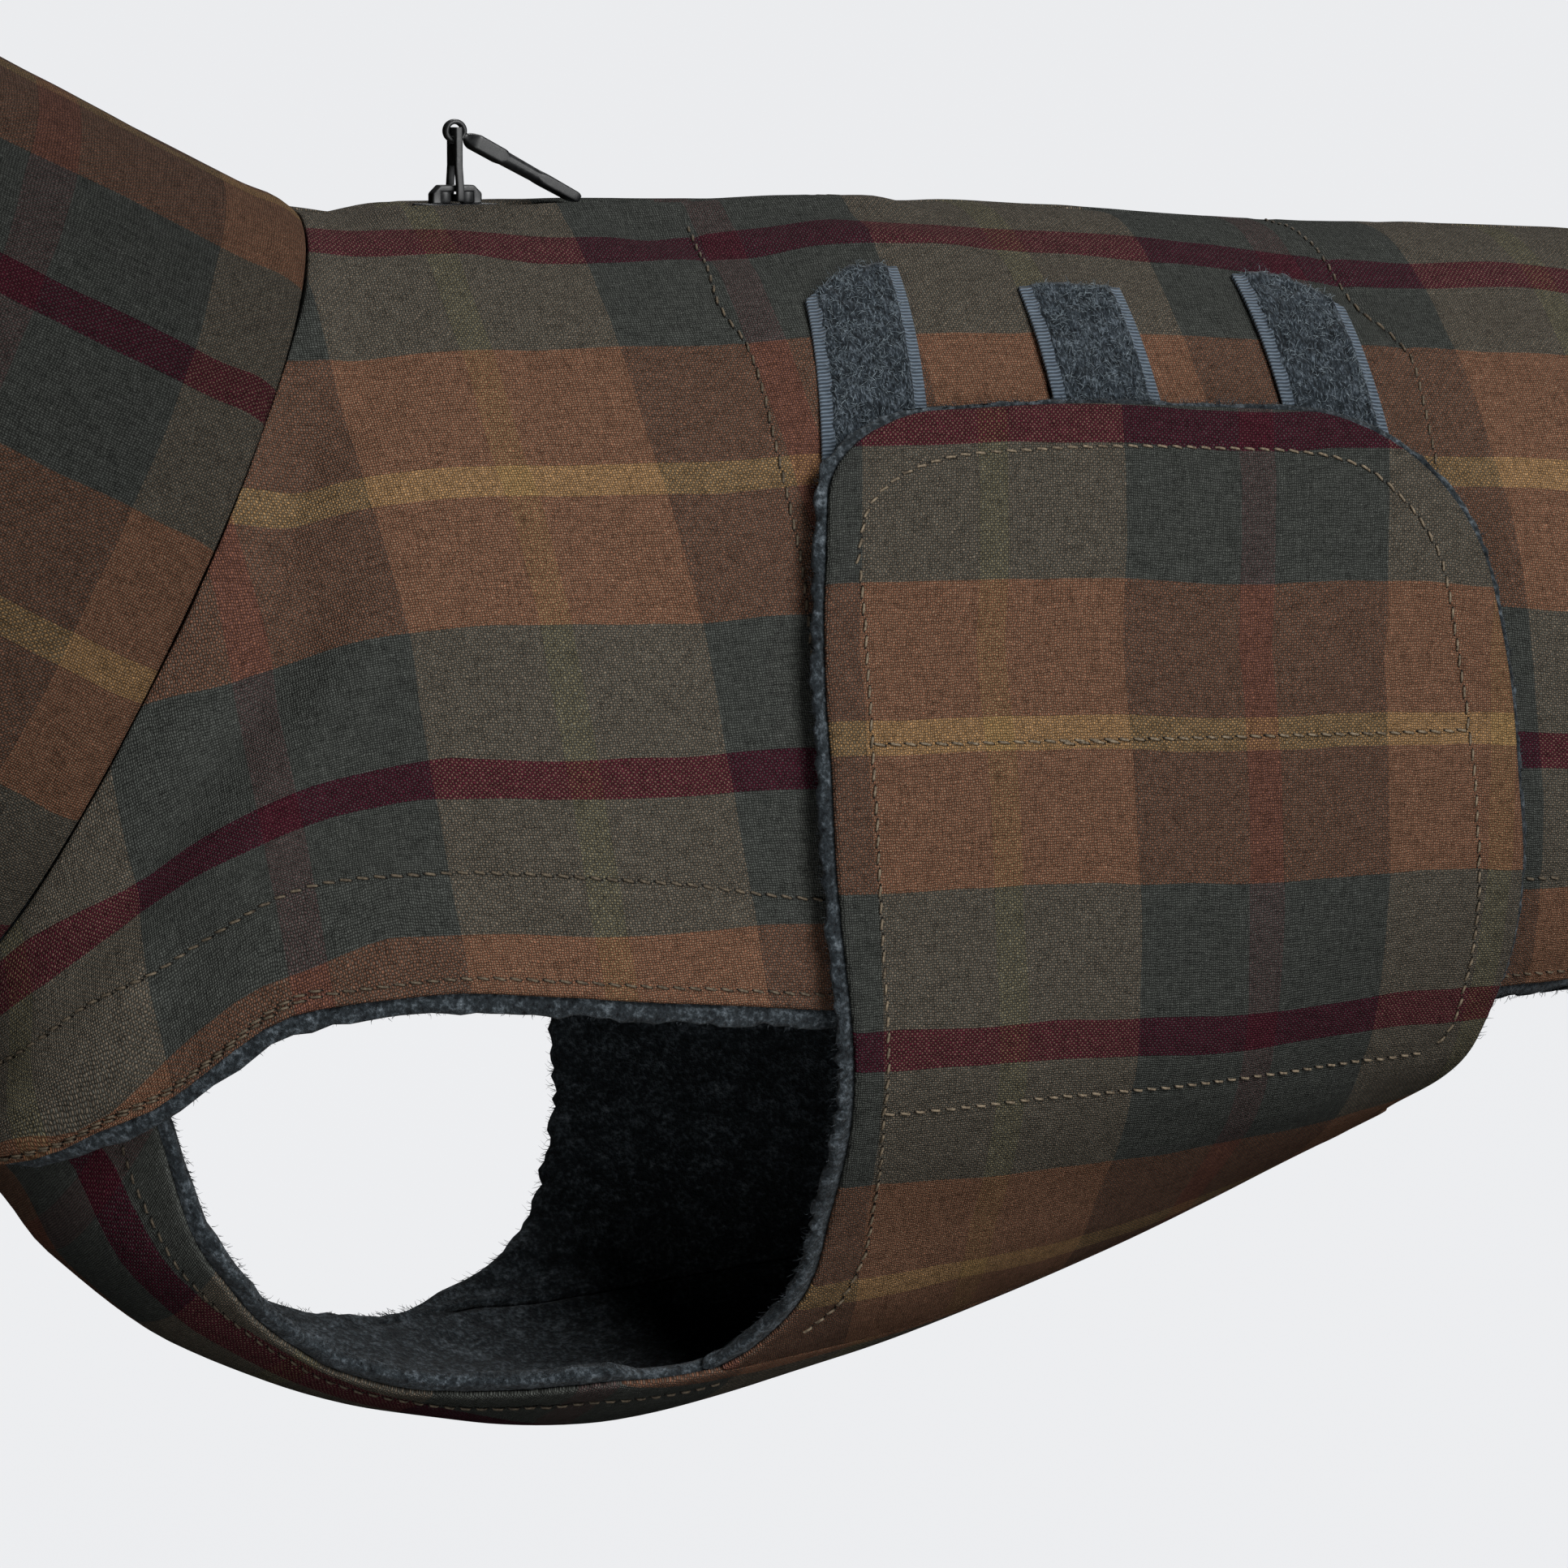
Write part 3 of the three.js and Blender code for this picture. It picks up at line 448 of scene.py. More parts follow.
# The maroon stripe on the chest strip: s and how far up from the keel, and the warp's place there
CHEST_MAROON = [
    (23, 41.5), (29, 36), (34.5, 33), (41, 31), (48, 29.3), (55, 27.2), (62, 24.8), (71, 22.8), (80, 20.2),
    (102, 13),
]
CHEST_WEAVE = {"maroon": 0.7, "half": 5.7, "stretch": 1.3, "s": 45}


column_shift = through(COLUMN_SHIFT)
upper_maroon = through(UPPER_MAROON)


def back_weave(s, down):
    near_neck = np.clip(1 - s / NECK_BEND["s"], 0, 1) ** NECK_BEND["power"]
    bend = NECK_BEND["amount"] * near_neck * np.maximum(0, down - NECK_BEND["from"]) ** 2
    at_rear = smooth((s - REAR_DRIFT["s"]) / REAR_DRIFT["run"])
    drift = REAR_DRIFT["amount"] * at_rear * (down - REAR_DRIFT["row"])
    near_leg = smooth((s - LEG_BEND["s"]) / LEG_BEND["run"])
    near_leg = near_leg * (1 - smooth((s - LEG_BEND["end"]) / LEG_BEND["end_run"]))
    bend = bend + LEG_BEND["slope"] * np.maximum(0, down - LEG_BEND["from"]) * near_leg
    in_front = 1 - smooth((s - LEG_RISE["s"]) / LEG_RISE["front_run"])
    rise = LEG_RISE["by"] * near_leg + LEG_RISE["front"] * in_front
    v = down - bend + drift - GOLD_ROW + rise * smooth((down - LEG_RISE["from"]) / LEG_RISE["run"])
    row = upper_maroon(np.clip(s, UPPER_MAROON[0][0], UPPER_MAROON[-1][0]))
    v = v - (SETT["green"] + row) * (1 - smooth((v - row) / UPPER_MAROON_RUN["fade"]))
    above = np.minimum(0, v + SETT["green"])
    v = v - above * (1 - UPPER_MAROON_RUN["stretch"])
    start = GOLD_COLUMN["from"]
    t = np.clip(down / start, 0, 1)
    lean = start * (t**3 - t**4 / 2) + np.maximum(0, down - start)
    column = GOLD_COLUMN["s"] + GOLD_COLUMN["lean"] * lean + column_shift(down)
    u = along_cloth(s, down) - along_cloth(column, down)
    return u, v


def wing_weave(s, down):
    column = WING_COLUMN["s"] + WING_COLUMN["lean"] * np.maximum(0, down - WING_COLUMN["from"])
    u = WING_WEAVE["warp"] * (along_cloth(s, down) - along_cloth(column, down))
    rear = smooth((s - WING_GOLD["rear_s"]) / WING_GOLD["rear_run"])
    row = WING_GOLD["row"] + (WING_GOLD["rear_row"] - WING_GOLD["row"]) * rear
    return u, (down - row) / (WING_WEAVE["weft"] - WING_WEAVE["shrink"] * (s - WING_WEAVE["from"]))


chest_maroon = through(CHEST_MAROON)


def strip_weave(s, up):
    below = chest_maroon(s) - up
    far = np.maximum(0, np.abs(below) - CHEST_WEAVE["half"])
    v = SETT["half"] - np.sign(below) * (
        CHEST_WEAVE["maroon"] * (np.abs(below) - far) + far * np.where(below > 0, CHEST_WEAVE["stretch"], 1))
    down = half_girth(s) - up
    u = along_cloth(s, down) - along_cloth(np.full_like(s, CHEST_WEAVE["s"]), down)
    return u + 2 * SETT["half"] - SETT["rust"], v


def collar_weave(along, down):
    green = COLLAR_COLUMN["green"]
    u = along - COLLAR_COLUMN["gold"] - np.maximum(0, along - green) * (1 - 1 / COLLAR_COLUMN["stretch"])
    off = down - COLLAR_MAROON["row"]
    return u, SETT["half"] + off / np.where(off < 0, COLLAR_MAROON["above"], COLLAR_MAROON["below"])


# Mesh making
def make_mesh(name, points, faces, uv=None):
    """A mesh object from points in millimetres, faces of four corners, and the cloth's own millimetres."""
    mesh = bpy.data.meshes.new(name)
    faces = np.asarray(faces, np.int32)
    mesh.vertices.add(len(points))
    mesh.vertices.foreach_set("co", (np.asarray(points, float) * MM).astype(np.float32).ravel())
    mesh.loops.add(faces.size)
    mesh.loops.foreach_set("vertex_index", faces.ravel())
    mesh.polygons.add(len(faces))
    mesh.polygons.foreach_set("loop_start", np.arange(0, faces.size, faces.shape[1], dtype=np.int32))
    mesh.polygons.foreach_set("use_smooth", np.ones(len(faces), bool))
    mesh.update(calc_edges=True)
    if uv is not None:
        layer = mesh.uv_layers.new(name="cloth")
        layer.data.foreach_set("uv", np.asarray(uv, np.float32)[faces.ravel()].ravel())
    mesh.validate()
    obj = bpy.data.objects.new(name, mesh)
    bpy.context.scene.collection.objects.link(obj)
    return obj


def wall(name, outer, inner, uv, closed=False):
    """A closed sheet between two grids of points."""
    n, m = outer.shape[:2]
    ids = np.arange(2 * n * m).reshape(2, n, m)
    if closed:
        ids = np.concatenate([ids, ids[:, :1]], axis=1)
    out, ins = ids
    quads = [
        np.stack([out[:-1, :-1], out[:-1, 1:], out[1:, 1:], out[1:, :-1]], -1).reshape(-1, 4),
        np.stack([ins[:-1, :-1], ins[1:, :-1], ins[1:, 1:], ins[:-1, 1:]], -1).reshape(-1, 4),
        np.stack([ins[:-1, 0], out[:-1, 0], out[1:, 0], ins[1:, 0]], -1),
        np.stack([out[:-1, -1], ins[:-1, -1], ins[1:, -1], out[1:, -1]], -1),
    ]
    if not closed:
        quads += [
            np.stack([ins[0, :-1], ins[0, 1:], out[0, 1:], out[0, :-1]], -1),
            np.stack([out[-1, :-1], out[-1, 1:], ins[-1, 1:], ins[-1, :-1]], -1),
        ]
    faces = np.concatenate(quads)
    points = np.concatenate([outer.reshape(-1, 3), inner.reshape(-1, 3)])
    both = np.concatenate([uv.reshape(-1, 2)] * 2)
    a, b, c = (points[faces[:, k]] for k in range(3))
    if (a * np.cross(b, c)).sum() < 0:
        faces = faces[:, ::-1]
    return make_mesh(name, points, faces, both)


def spaced(length, step, fine=(0.35, 0.9, 1.7)):
    """Shares of a length, evenly spaced and closer at both ends so that an edge can be round."""
    ends = [0.0, *fine]
    inner = np.linspace(fine[-1] + step, length - fine[-1] - step, max(2, int(length / step)))
    return np.concatenate([ends, inner, length - np.array(ends[::-1])]) / length


def rounded(away, radius):
    """How far a rolled edge lies below the face, at a distance from the edge."""
    t = np.clip(away / radius, 0, 1)
    return radius * 0.5 * (1 - np.sqrt(1 - (1 - t) ** 2))


# Stitch lines, each a name and points in s and down
BACK_STITCHES = {
    "front_channel": [(76.5, 17.8), (77.4, 42.8), (82.6, 56.3), (88.2, 80), (94, 101.8), (98.3, 122.6),
                      (105.3, 156.7)],
    "rear_channel": [(206, 2), (205.8, 37.6), (207.6, 47), (212.2, 52.5), (215.1, 60), (215.2, 78),
                     (216, 160)],
    "low_front": [(7.8, 205.4), (12.7, 188.5), (20.5, 179.5), (29.8, 166), (35.6, 161.8), (44.7, 159.4),
                  (54.8, 158.6), (77.5, 160.4), (108.5, 165.7), (160, 165), (245, 162.6)],
}
WING_STITCHES = {
    "outer": [(101.7, 104.2), (102.9, 94.4), (106.8, 89), (112.8, 85.8), (121.4, 84), (135.6, 83.8),
              (175.8, 83), (186.5, 83.4), (195.1, 85.1), (201, 88.7), (206, 94.2), (209.8, 101.7),
              (212.2, 114.7), (215.2, 132.5), (219, 159.7), (220.2, 174.2), (220, 188.2), (217.4, 197.6)],
    "front": [(102.4, 104.4), (107.8, 136.7), (110, 148.8), (115.5, 178.7), (118.4, 193.8), (120.3, 205.9),
              (124, 224), (126.5, 243), (125.8, 254.2), (122.7, 263.5)],
    "channel": [(107.8, 136.7), (136.9, 137.3), (173.4, 135.6), (215.7, 132.5)],
    "channel_tack": [(138, 137.9), (150, 137.4)],
    "low_channel": [(120.1, 205.9), (144.7, 203.7), (180.7, 200.2), (217, 196.5)],
}
# s, up
CHEST_STITCH = [
    (24, 51), (29.5, 46), (32.6, 42.3), (38.5, 39.3), (45.1, 36.6), (51.3, 33.3), (57.4, 30.2), (65.3, 26.6),
    (78, 27), (90, 32), (104, 37.5), (118, 37),
]
# Length of a stitch, thickness of the thread, and how far a stitch slants
PITCH = 3.1
THREAD = 0.56
SLANT = 0.9
STITCH_TURNS, STITCH_RINGS = 6, 5
# Distance of the stitching from the edge, of its second row, and s where that row ends
EDGE_STITCH = {"in": 3.0, "second": 4.5, "second_to": 42}


def curve_points(points, step=1.5):
    """Points of a smooth line through a few, about step apart."""
    points = np.array(points, float)
    run = run_along(points)
    fit = [through(list(zip(run, points[:, k]))) for k in (0, 1)]
    at = np.linspace(0, run[-1], max(2, int(run[-1] / step) + 1))
    return np.stack([fit[0](at), fit[1](at)], -1)


def off_line(line, s, down, reach):
    """Distance of places from a line and how far along it they are, within reach, else a large distance."""
    shape = np.broadcast(s, down).shape
    s, down = (np.broadcast_to(a, shape).ravel() for a in (s, down))
    best, where = np.full(s.size, 1e6), np.zeros(s.size)
    low, high = line.min(0) - reach, line.max(0) + reach
    near = np.where((s > low[0]) & (s < high[0]) & (down > low[1]) & (down < high[1]))[0]
    run = 0.0
    for a, b in zip(line[:-1], line[1:]):
        d = b - a
        length = float(np.hypot(*d))
        limit = reach + length
        close = near[(np.abs(s[near] - a[0]) < limit) & (np.abs(down[near] - a[1]) < limit)]
        t = np.clip(((s[close] - a[0]) * d[0] + (down[close] - a[1]) * d[1]) / length**2, 0, 1)
        gap = np.hypot(s[close] - a[0] - t * d[0], down[close] - a[1] - t * d[1])
        better = gap < best[close]
        best[close[better]] = gap[better]
        where[close[better]] = run + t[better] * length
        run += length
    return best.reshape(shape), where.reshape(shape)


def sewn(lines, s, down, deep=0.45, wide=1.5, pucker=0.16, reach=14):
    """Height of the cloth about its stitch lines: a groove, and small puckers beside it."""
    height = np.zeros(np.broadcast(s, down).shape)
    for n, line in enumerate(lines):
        gap, run = off_line(line, s, down, reach)
        height -= deep * np.exp(-((gap / wide) ** 2))
        ripple = noise(run / 3.2, gap / 9, 40 + n) + 0.6 * noise(run / 1.7, gap / 5, 60 + n)
        height += pucker * ripple * np.exp(-((gap / 6) ** 2))
    return height


def crumple(s, down, seed, size=1.0):
    """Soft uneven waves of worn cloth."""
    wave = 0.5 * noise(s / 34, down / 21, seed) + 0.26 * noise(s / 15, down / 10, seed + 1)
    return size * (wave + 0.1 * noise(s / 6.5, down / 5, seed + 2))


def stitch_mesh(name, lines, surface):
    """One mesh of the stitches along lines. surface(s, down) gives the cloth's points and normals."""
    share = np.linspace(0, 1, STITCH_RINGS)
    bow = np.sin(math.pi * share)
    turn = around(STITCH_TURNS)
    i = np.arange(STITCH_RINGS - 1)[:, None] * STITCH_TURNS
    j = np.arange(STITCH_TURNS)[None, :]
    beside = (j + 1) % STITCH_TURNS
    tube = np.stack([i + j, i + beside, i + STITCH_TURNS + beside, i + STITCH_TURNS + j], -1).reshape(-1, 4)
    first_cap = np.array([[0, 1, 2, 3], [0, 3, 4, 5]])
    last_cap = np.array([[3, 2, 1, 0], [5, 4, 3, 0]]) + (STITCH_RINGS - 1) * STITCH_TURNS
    one = np.concatenate([tube, first_cap, last_cap])
    points, faces, uv = [], [], []
    for line in lines:
        path, normals = surface(line[:, 0], line[:, 1])
        run = run_along(path)
        for k in range(int(run[-1] / PITCH)):
            at = PITCH * (k + 0.04 + 0.92 * share)
            centre = np.stack([np.interp(at, run, path[:, a]) for a in range(3)], -1)
            normal = np.stack([np.interp(at, run, normals[:, a]) for a in range(3)], -1)
            normal = unit(normal)
            tangent = unit(np.gradient(centre, axis=0))
            across = np.cross(tangent, normal)
            centre = centre + normal * (THREAD * (0.9 * np.minimum(1, 1.6 * bow) - 0.25))[:, None]
            centre += across * (THREAD * SLANT * (share - 0.5))[:, None]
            radius = THREAD / 2 * (0.75 + 0.25 * bow)
            ring = np.cos(turn)[:, None] * across[:, None] + np.sin(turn)[:, None] * normal[:, None]
            faces.append(one + len(points) * STITCH_RINGS * STITCH_TURNS)
            points.append((centre[:, None] + radius[:, None, None] * ring).reshape(-1, 3))
            uv.append(np.stack([np.repeat(share, STITCH_TURNS), np.zeros(STITCH_RINGS * STITCH_TURNS)], -1))
    return make_mesh(name, np.concatenate(points), np.concatenate(faces), np.concatenate(uv))


# Materials
def linear(*colour):
    """A shader's colour from red, green and blue as a screen shows them, up to 255."""
    parts = [c / 255 / 12.92 if c <= 10 else ((c / 255 + 0.055) / 1.055) ** 2.4 for c in colour]
    return (*parts, 1.0)


class Shader:
    """A material's node tree, with short calls for the nodes that it uses."""

    def __init__(self, name, roughness, sheen=0.0, sheen_roughness=0.5, specular=0.5):
        self.material = bpy.data.materials.new(name)
        self.material.use_nodes = True
        self.tree = self.material.node_tree
        self.out = self.tree.nodes["Principled BSDF"]
        self.out.inputs["Roughness"].default_value = roughness
        self.out.inputs["Sheen Weight"].default_value = sheen
        self.out.inputs["Sheen Roughness"].default_value = sheen_roughness
        self.out.inputs["Specular IOR Level"].default_value = specular

    def node(self, kind, **settings):
        made = self.tree.nodes.new(kind)
        for key, value in settings.items():
            setattr(made, key, value)
        return made

    def feed(self, socket, value):
        if isinstance(value, bpy.types.NodeSocket):
            self.tree.links.new(value, socket)
        else:
            socket.default_value = value

    def math(self, operation, *values):
        made = self.node("ShaderNodeMath", operation=operation)
        for socket, value in zip(made.inputs, values):
            self.feed(socket, value)
        return made.outputs[0]

    def plus(self, a, b):
        return self.math("ADD", a, b)

    def times(self, a, b):
        return self.math("MULTIPLY", a, b)

    def scaled(self, value, factor, offset):
        return self.math("MULTIPLY_ADD", value, factor, offset)

    def mix(self, blend, share, a, b):
        made = self.node("ShaderNodeMix", data_type="RGBA", blend_type=blend)
        self.feed(made.inputs["Factor"], share)
        self.feed(made.inputs["A"], a)
        self.feed(made.inputs["B"], b)
        return made.outputs["Result"]

    def noise(self, vector, scale, detail=2.0, roughness=0.5):
        made = self.node("ShaderNodeTexNoise")
        self.feed(made.inputs["Vector"], vector)
        made.inputs["Scale"].default_value = scale
        made.inputs["Detail"].default_value = detail
        made.inputs["Roughness"].default_value = roughness
        return made.outputs["Fac"]

    def ramp(self, value, stops, constant=False):
        made = self.node("ShaderNodeValToRGB")
        made.color_ramp.interpolation = "CONSTANT" if constant else "LINEAR"
        while len(made.color_ramp.elements) < len(stops):
            made.color_ramp.elements.new(0.5)
        for element, (at, colour) in zip(made.color_ramp.elements, stops):
            element.position = at
            element.color = colour
        self.feed(made.inputs["Fac"], value)
        return made.outputs["Color"]

    def bump(self, height, distance, strength=1.0, normal=None):
        made = self.node("ShaderNodeBump")
        self.feed(made.inputs["Height"], height)
        made.inputs["Distance"].default_value = distance
        made.inputs["Strength"].default_value = strength
        if normal is not None:
            self.feed(made.inputs["Normal"], normal)
        return made.outputs["Normal"]

    def vector(self, x, y, z=0.0):
        made = self.node("ShaderNodeCombineXYZ")
        for socket, value in zip(made.inputs, (x, y, z)):
            self.feed(socket, value)
        return made.outputs[0]

    def fibres(self, vector, scale, stretch=0.2):
        """Streaks of short fibres that lie three ways."""
        best = None
        for turn in (0.35, 1.5, 2.55):
            made = self.node("ShaderNodeMapping")
            self.feed(made.inputs["Vector"], vector)
            made.inputs["Rotation"].default_value = (0.5 * turn, turn, 0.3 * turn)
            made.inputs["Scale"].default_value = (scale, scale * stretch, scale * stretch * 2)
            streak = self.noise(made.outputs[0], 1.0, 2.0, 0.6)
            best = streak if best is None else self.math("MAXIMUM", best, streak)
        return best

    def place(self):
        return self.node("ShaderNodeTexCoord").outputs["Object"]

    def cloth(self):
        """The two places of the cloth map."""
        split = self.node("ShaderNodeSeparateXYZ")
        self.feed(split.inputs[0], self.node("ShaderNodeUVMap", uv_map="cloth").outputs[0])
        return split.outputs[0], split.outputs[1]

    def set_colour(self, colour):
        self.feed(self.out.inputs["Base Color"], colour)

    def set_normal(self, normal):
        self.feed(self.out.inputs["Normal"], normal)


# Share of the weft in the cloth's colour, width of a yarn, and how far the yarns wander
WEFT_SHARE = 0.6
YARN = 0.475
WANDER = 1.6
# Yarn colours of the weft and the warp
WEFT = {"gold": (0.275, 0.146, 0.0555, 1), "rust": (0.142, 0.0575, 0.0325, 1),
        "green": (0.0423, 0.0452, 0.0409, 1), "maroon": (0.035, 0.0024, 0.0078, 1)}
WARP = {"gold": (0.158, 0.126, 0.067, 1), "rust": (0.134, 0.0985, 0.0679, 1),
        "green": (0.0423, 0.0452, 0.0409, 1), "maroon": (0.064, 0.035, 0.034, 1)}


def plaid_material(name="plaid_cloth", tone=1.0):
    """The check. tone darkens the whole cloth as painted shade, for the copies of the cloth that stand in
    shade.
    """
    sh = Shader(name, 0.95, specular=0.06)
    uv = sh.node("ShaderNodeUVMap", uv_map="cloth").outputs[0]
    split = sh.node("ShaderNodeSeparateXYZ")
    # Threads wander a little, so the edges of the stripes do too
    wander = sh.node("ShaderNodeTexNoise")
    sh.feed(wander.inputs["Vector"], uv)
    wander.inputs["Scale"].default_value = 0.045
    wander.inputs["Detail"].default_value = 1.0
    shift = sh.node("ShaderNodeVectorMath", operation="MULTIPLY_ADD")
    sh.feed(shift.inputs[0], wander.outputs["Color"])
    shift.inputs[1].default_value = (WANDER, WANDER, 0)
    sh.feed(shift.inputs[2], uv)
    centred = sh.node("ShaderNodeVectorMath", operation="SUBTRACT")
    sh.feed(centred.inputs[0], shift.outputs[0])
    centred.inputs[1].default_value = (WANDER / 2, WANDER / 2, 0)
    sh.feed(split.inputs[0], centred.outputs[0])
    u, v = split.outputs[0], split.outputs[1]

    def sett(at, yarns):
        turn = sh.math("DIVIDE", sh.math("PINGPONG", at, SETT["half"]), SETT["half"])
        starts = {"gold": 0, "rust": SETT["gold"], "green": SETT["rust"], "maroon": SETT["green"]}
        stops = [(start / SETT["half"], yarns[name]) for name, start in starts.items()]
        return sh.ramp(turn, stops, constant=True)

    weft, warp = sett(v, WEFT), sett(u, WARP)
    parts = []
    for colour, share in ((weft, WEFT_SHARE), (warp, 1 - WEFT_SHARE)):
        made = sh.node("ShaderNodeGamma")
        sh.feed(made.inputs["Color"], colour)
        made.inputs["Gamma"].default_value = share
        parts.append(made.outputs[0])
    blended = sh.mix("MULTIPLY", 1.0, *parts)

    # Plain weave: the yarn on top changes from crossing to crossing, and each yarn is round, its roundness
    # also painted into the colour as shade
    wobble_u = sh.scaled(sh.noise(sh.vector(u, v, 5.0), 0.8, 1.0), 0.7, u)
    wobble_v = sh.scaled(sh.noise(sh.vector(u, v, 9.0), 0.8, 1.0), 0.7, v)
    wave_u = sh.math("SINE", sh.times(wobble_u, math.pi / YARN))
    wave_v = sh.math("SINE", sh.times(wobble_v, math.pi / YARN))
    over = sh.times(wave_u, wave_v)
    weft_on_top = sh.scaled(over, 2.0, 0.55)
    weft_on_top = sh.math("MINIMUM", sh.math("MAXIMUM", weft_on_top, 0.0), 1.0)
    top = sh.mix("MIX", weft_on_top, warp, weft)
    colour = sh.mix("MIX", 0.4, blended, top)
    hill = sh.math("ABSOLUTE", over)
    # Heathered yarn: each thread has its own tone, with streaks along it and a few pale flecks
    tone_u = sh.noise(sh.vector(sh.times(u, 0.22), sh.times(v, 1.05)), 1.0, 2.0, 0.6)
    tone_v = sh.noise(sh.vector(sh.times(u, 1.05), sh.times(v, 0.22), 7.0), 1.0, 2.0, 0.6)
    fine = sh.noise(sh.vector(u, v, 11.0), 1.6, 2.0, 0.7)
    heather = sh.plus(sh.scaled(tone_u, 0.9, -0.45), sh.scaled(tone_v, 0.8, -0.4))
    heather = sh.plus(heather, sh.scaled(fine, 1.5, -0.75))
    # Painted shade: the colour darkens where the yarns dip between crossings and lightens on their crowns
    shade = sh.scaled(hill, 1.5, 0.4)
    shade = sh.times(shade, sh.math("MAXIMUM", sh.plus(heather, 1.0), 0.25))
    fleck = sh.noise(sh.vector(sh.times(u, 0.8), sh.times(v, 1.5), 3.0), 1.0, 1.0)
    fleck = sh.math("MAXIMUM", sh.scaled(fleck, 9.0, -6.3), 0.0)
    # Painted shade: a tone below 1 darkens a whole copy of the cloth that stands in shade
    shade = sh.times(sh.plus(shade, sh.times(fleck, 0.9)), tone)
    colour = sh.mix("MULTIPLY", 1.0, colour, sh.vector(shade, shade, shade))
    sh.set_colour(colour)
    height = sh.plus(hill, sh.times(heather, 0.5))
    normal = sh.bump(height, 0.00022, 0.9)
    wrinkle = sh.noise(sh.place(), 120.0, 3.0)
    sh.set_normal(sh.bump(wrinkle, 0.0008, 0.6, normal))
    return sh.material


def hair_faces(count, rings, sides):
    """Triangles of many closed tapering tubes of a few rings each."""
    one = []
    for k in range(rings - 1):
        for j in range(sides):
            a, b = k * sides + j, k * sides + (j + 1) % sides
            one += [(a, b, b + sides), (a, b + sides, a + sides)]
    last = (rings - 1) * sides
    for j in range(1, sides - 1):
        one += [(0, j + 1, j), (last, last + j, last + j + 1)]
    one = np.array(one)
    return (one[None] + (np.arange(count) * rings * sides)[:, None, None]).reshape(-1, 3)


def nap(name, surface, a, b, da, db, level, seed, length=(0.5, 1.6), rise=0.25, width=0.085):
    """Short fibres on a surface. a and b are their places, and da and db the way that they lean."""
    rng = np.random.default_rng(seed)
    count, sides = len(a), 3
    root = surface(a, b, level)
    out = unit(surface(a + da * 0.4, b + db * 0.4, level) - root)
    normal = unit(surface(a, b, level + 0.4) - root)
    beside = np.cross(out, normal)
    long = rng.uniform(*length, count)[:, None, None]
    turn = rng.normal(0, 0.5, count)[:, None, None]
    lift = (rise + rng.normal(0, 0.3, count))[:, None, None]
    t = np.array([0, 0.5, 1.0])[None, :, None]
    path = out[:, None] * t + beside[:, None] * turn * t**2 + normal[:, None] * lift * t * (1.5 - t)
    centre = root[:, None] + long * path
    angle = around(sides)
    ring = np.cos(angle)[:, None] * beside[:, None] + np.sin(angle)[:, None] * normal[:, None]
    points = centre[:, :, None] + (width * (1 - 0.75 * t))[..., None] * ring[:, None]
    return make_mesh(name, points.reshape(-1, 3), hair_faces(count, 3, sides))


def fleece_material():
    sh = Shader("fleece", 1.0, sheen=0.08, specular=0.05)
    place = sh.place()
    tufts = sh.noise(place, 900.0, 4.0, 0.7)
    clumps = sh.noise(place, 240.0, 3.0, 0.6)
    mixed = sh.plus(sh.times(tufts, 0.65), sh.times(clumps, 0.35))
    stops = [
        (0.34, linear(12, 14, 17)), (0.5, linear(44, 50, 54)),
        (0.6, linear(84, 92, 98)), (0.74, linear(142, 151, 158)),
    ]
    sh.set_colour(sh.ramp(mixed, stops))
    sh.set_normal(sh.bump(mixed, 0.0016, 1.0))
    return sh.material


def pile_material():
    """Loop tape. The cloth map's u is the distance from the nearer long edge, v runs along it."""
    sh = Shader("loop_tape", 0.9, sheen=0.1, specular=0.12)
    from_edge, along = sh.cloth()
    place = sh.place()
    loops = sh.fibres(place, 2100.0)
    clumps = sh.noise(place, 300.0, 3.0, 0.6)
    mixed = sh.plus(sh.times(loops, 0.8), sh.times(clumps, 0.2))
    stops = [
        (0.44, linear(10, 13, 16)), (0.53, linear(29, 35, 40)),
        (0.6, linear(51, 58, 64)), (0.68, linear(90, 99, 107)),
    ]
    pile_colour = sh.ramp(mixed, stops)
    rib = sh.math("SINE", sh.times(along, 2 * math.pi / SELVAGE["rib"]))
    thread_tone = sh.scaled(sh.noise(place, 700.0, 2.0), 0.8, -0.4)
    rib_tone = sh.plus(sh.scaled(rib, 0.5, 0.5), thread_tone)
    rib_colour = sh.ramp(rib_tone, [(0.0, linear(50, 59, 68)), (1.0, linear(108, 121, 134))])
    edge = sh.plus(from_edge, sh.scaled(clumps, 1.6, -0.8))
    within = sh.math("LESS_THAN", edge, SELVAGE["wide"])
    sh.set_colour(sh.mix("MIX", within, pile_colour, rib_colour))
    height = sh.mix("MIX", within, mixed, sh.times(rib, 0.5))
    sh.set_normal(sh.bump(height, 0.0005, 0.8))
    return sh.material


def pile_hair_material():
    sh = Shader("loop_hair", 0.8, specular=0.2)
    tone = sh.noise(sh.place(), 1300.0, 1.0)
    sh.set_colour(sh.ramp(tone, [(0.35, linear(44, 52, 57)), (0.65, linear(136, 148, 155))]))
    return sh.material


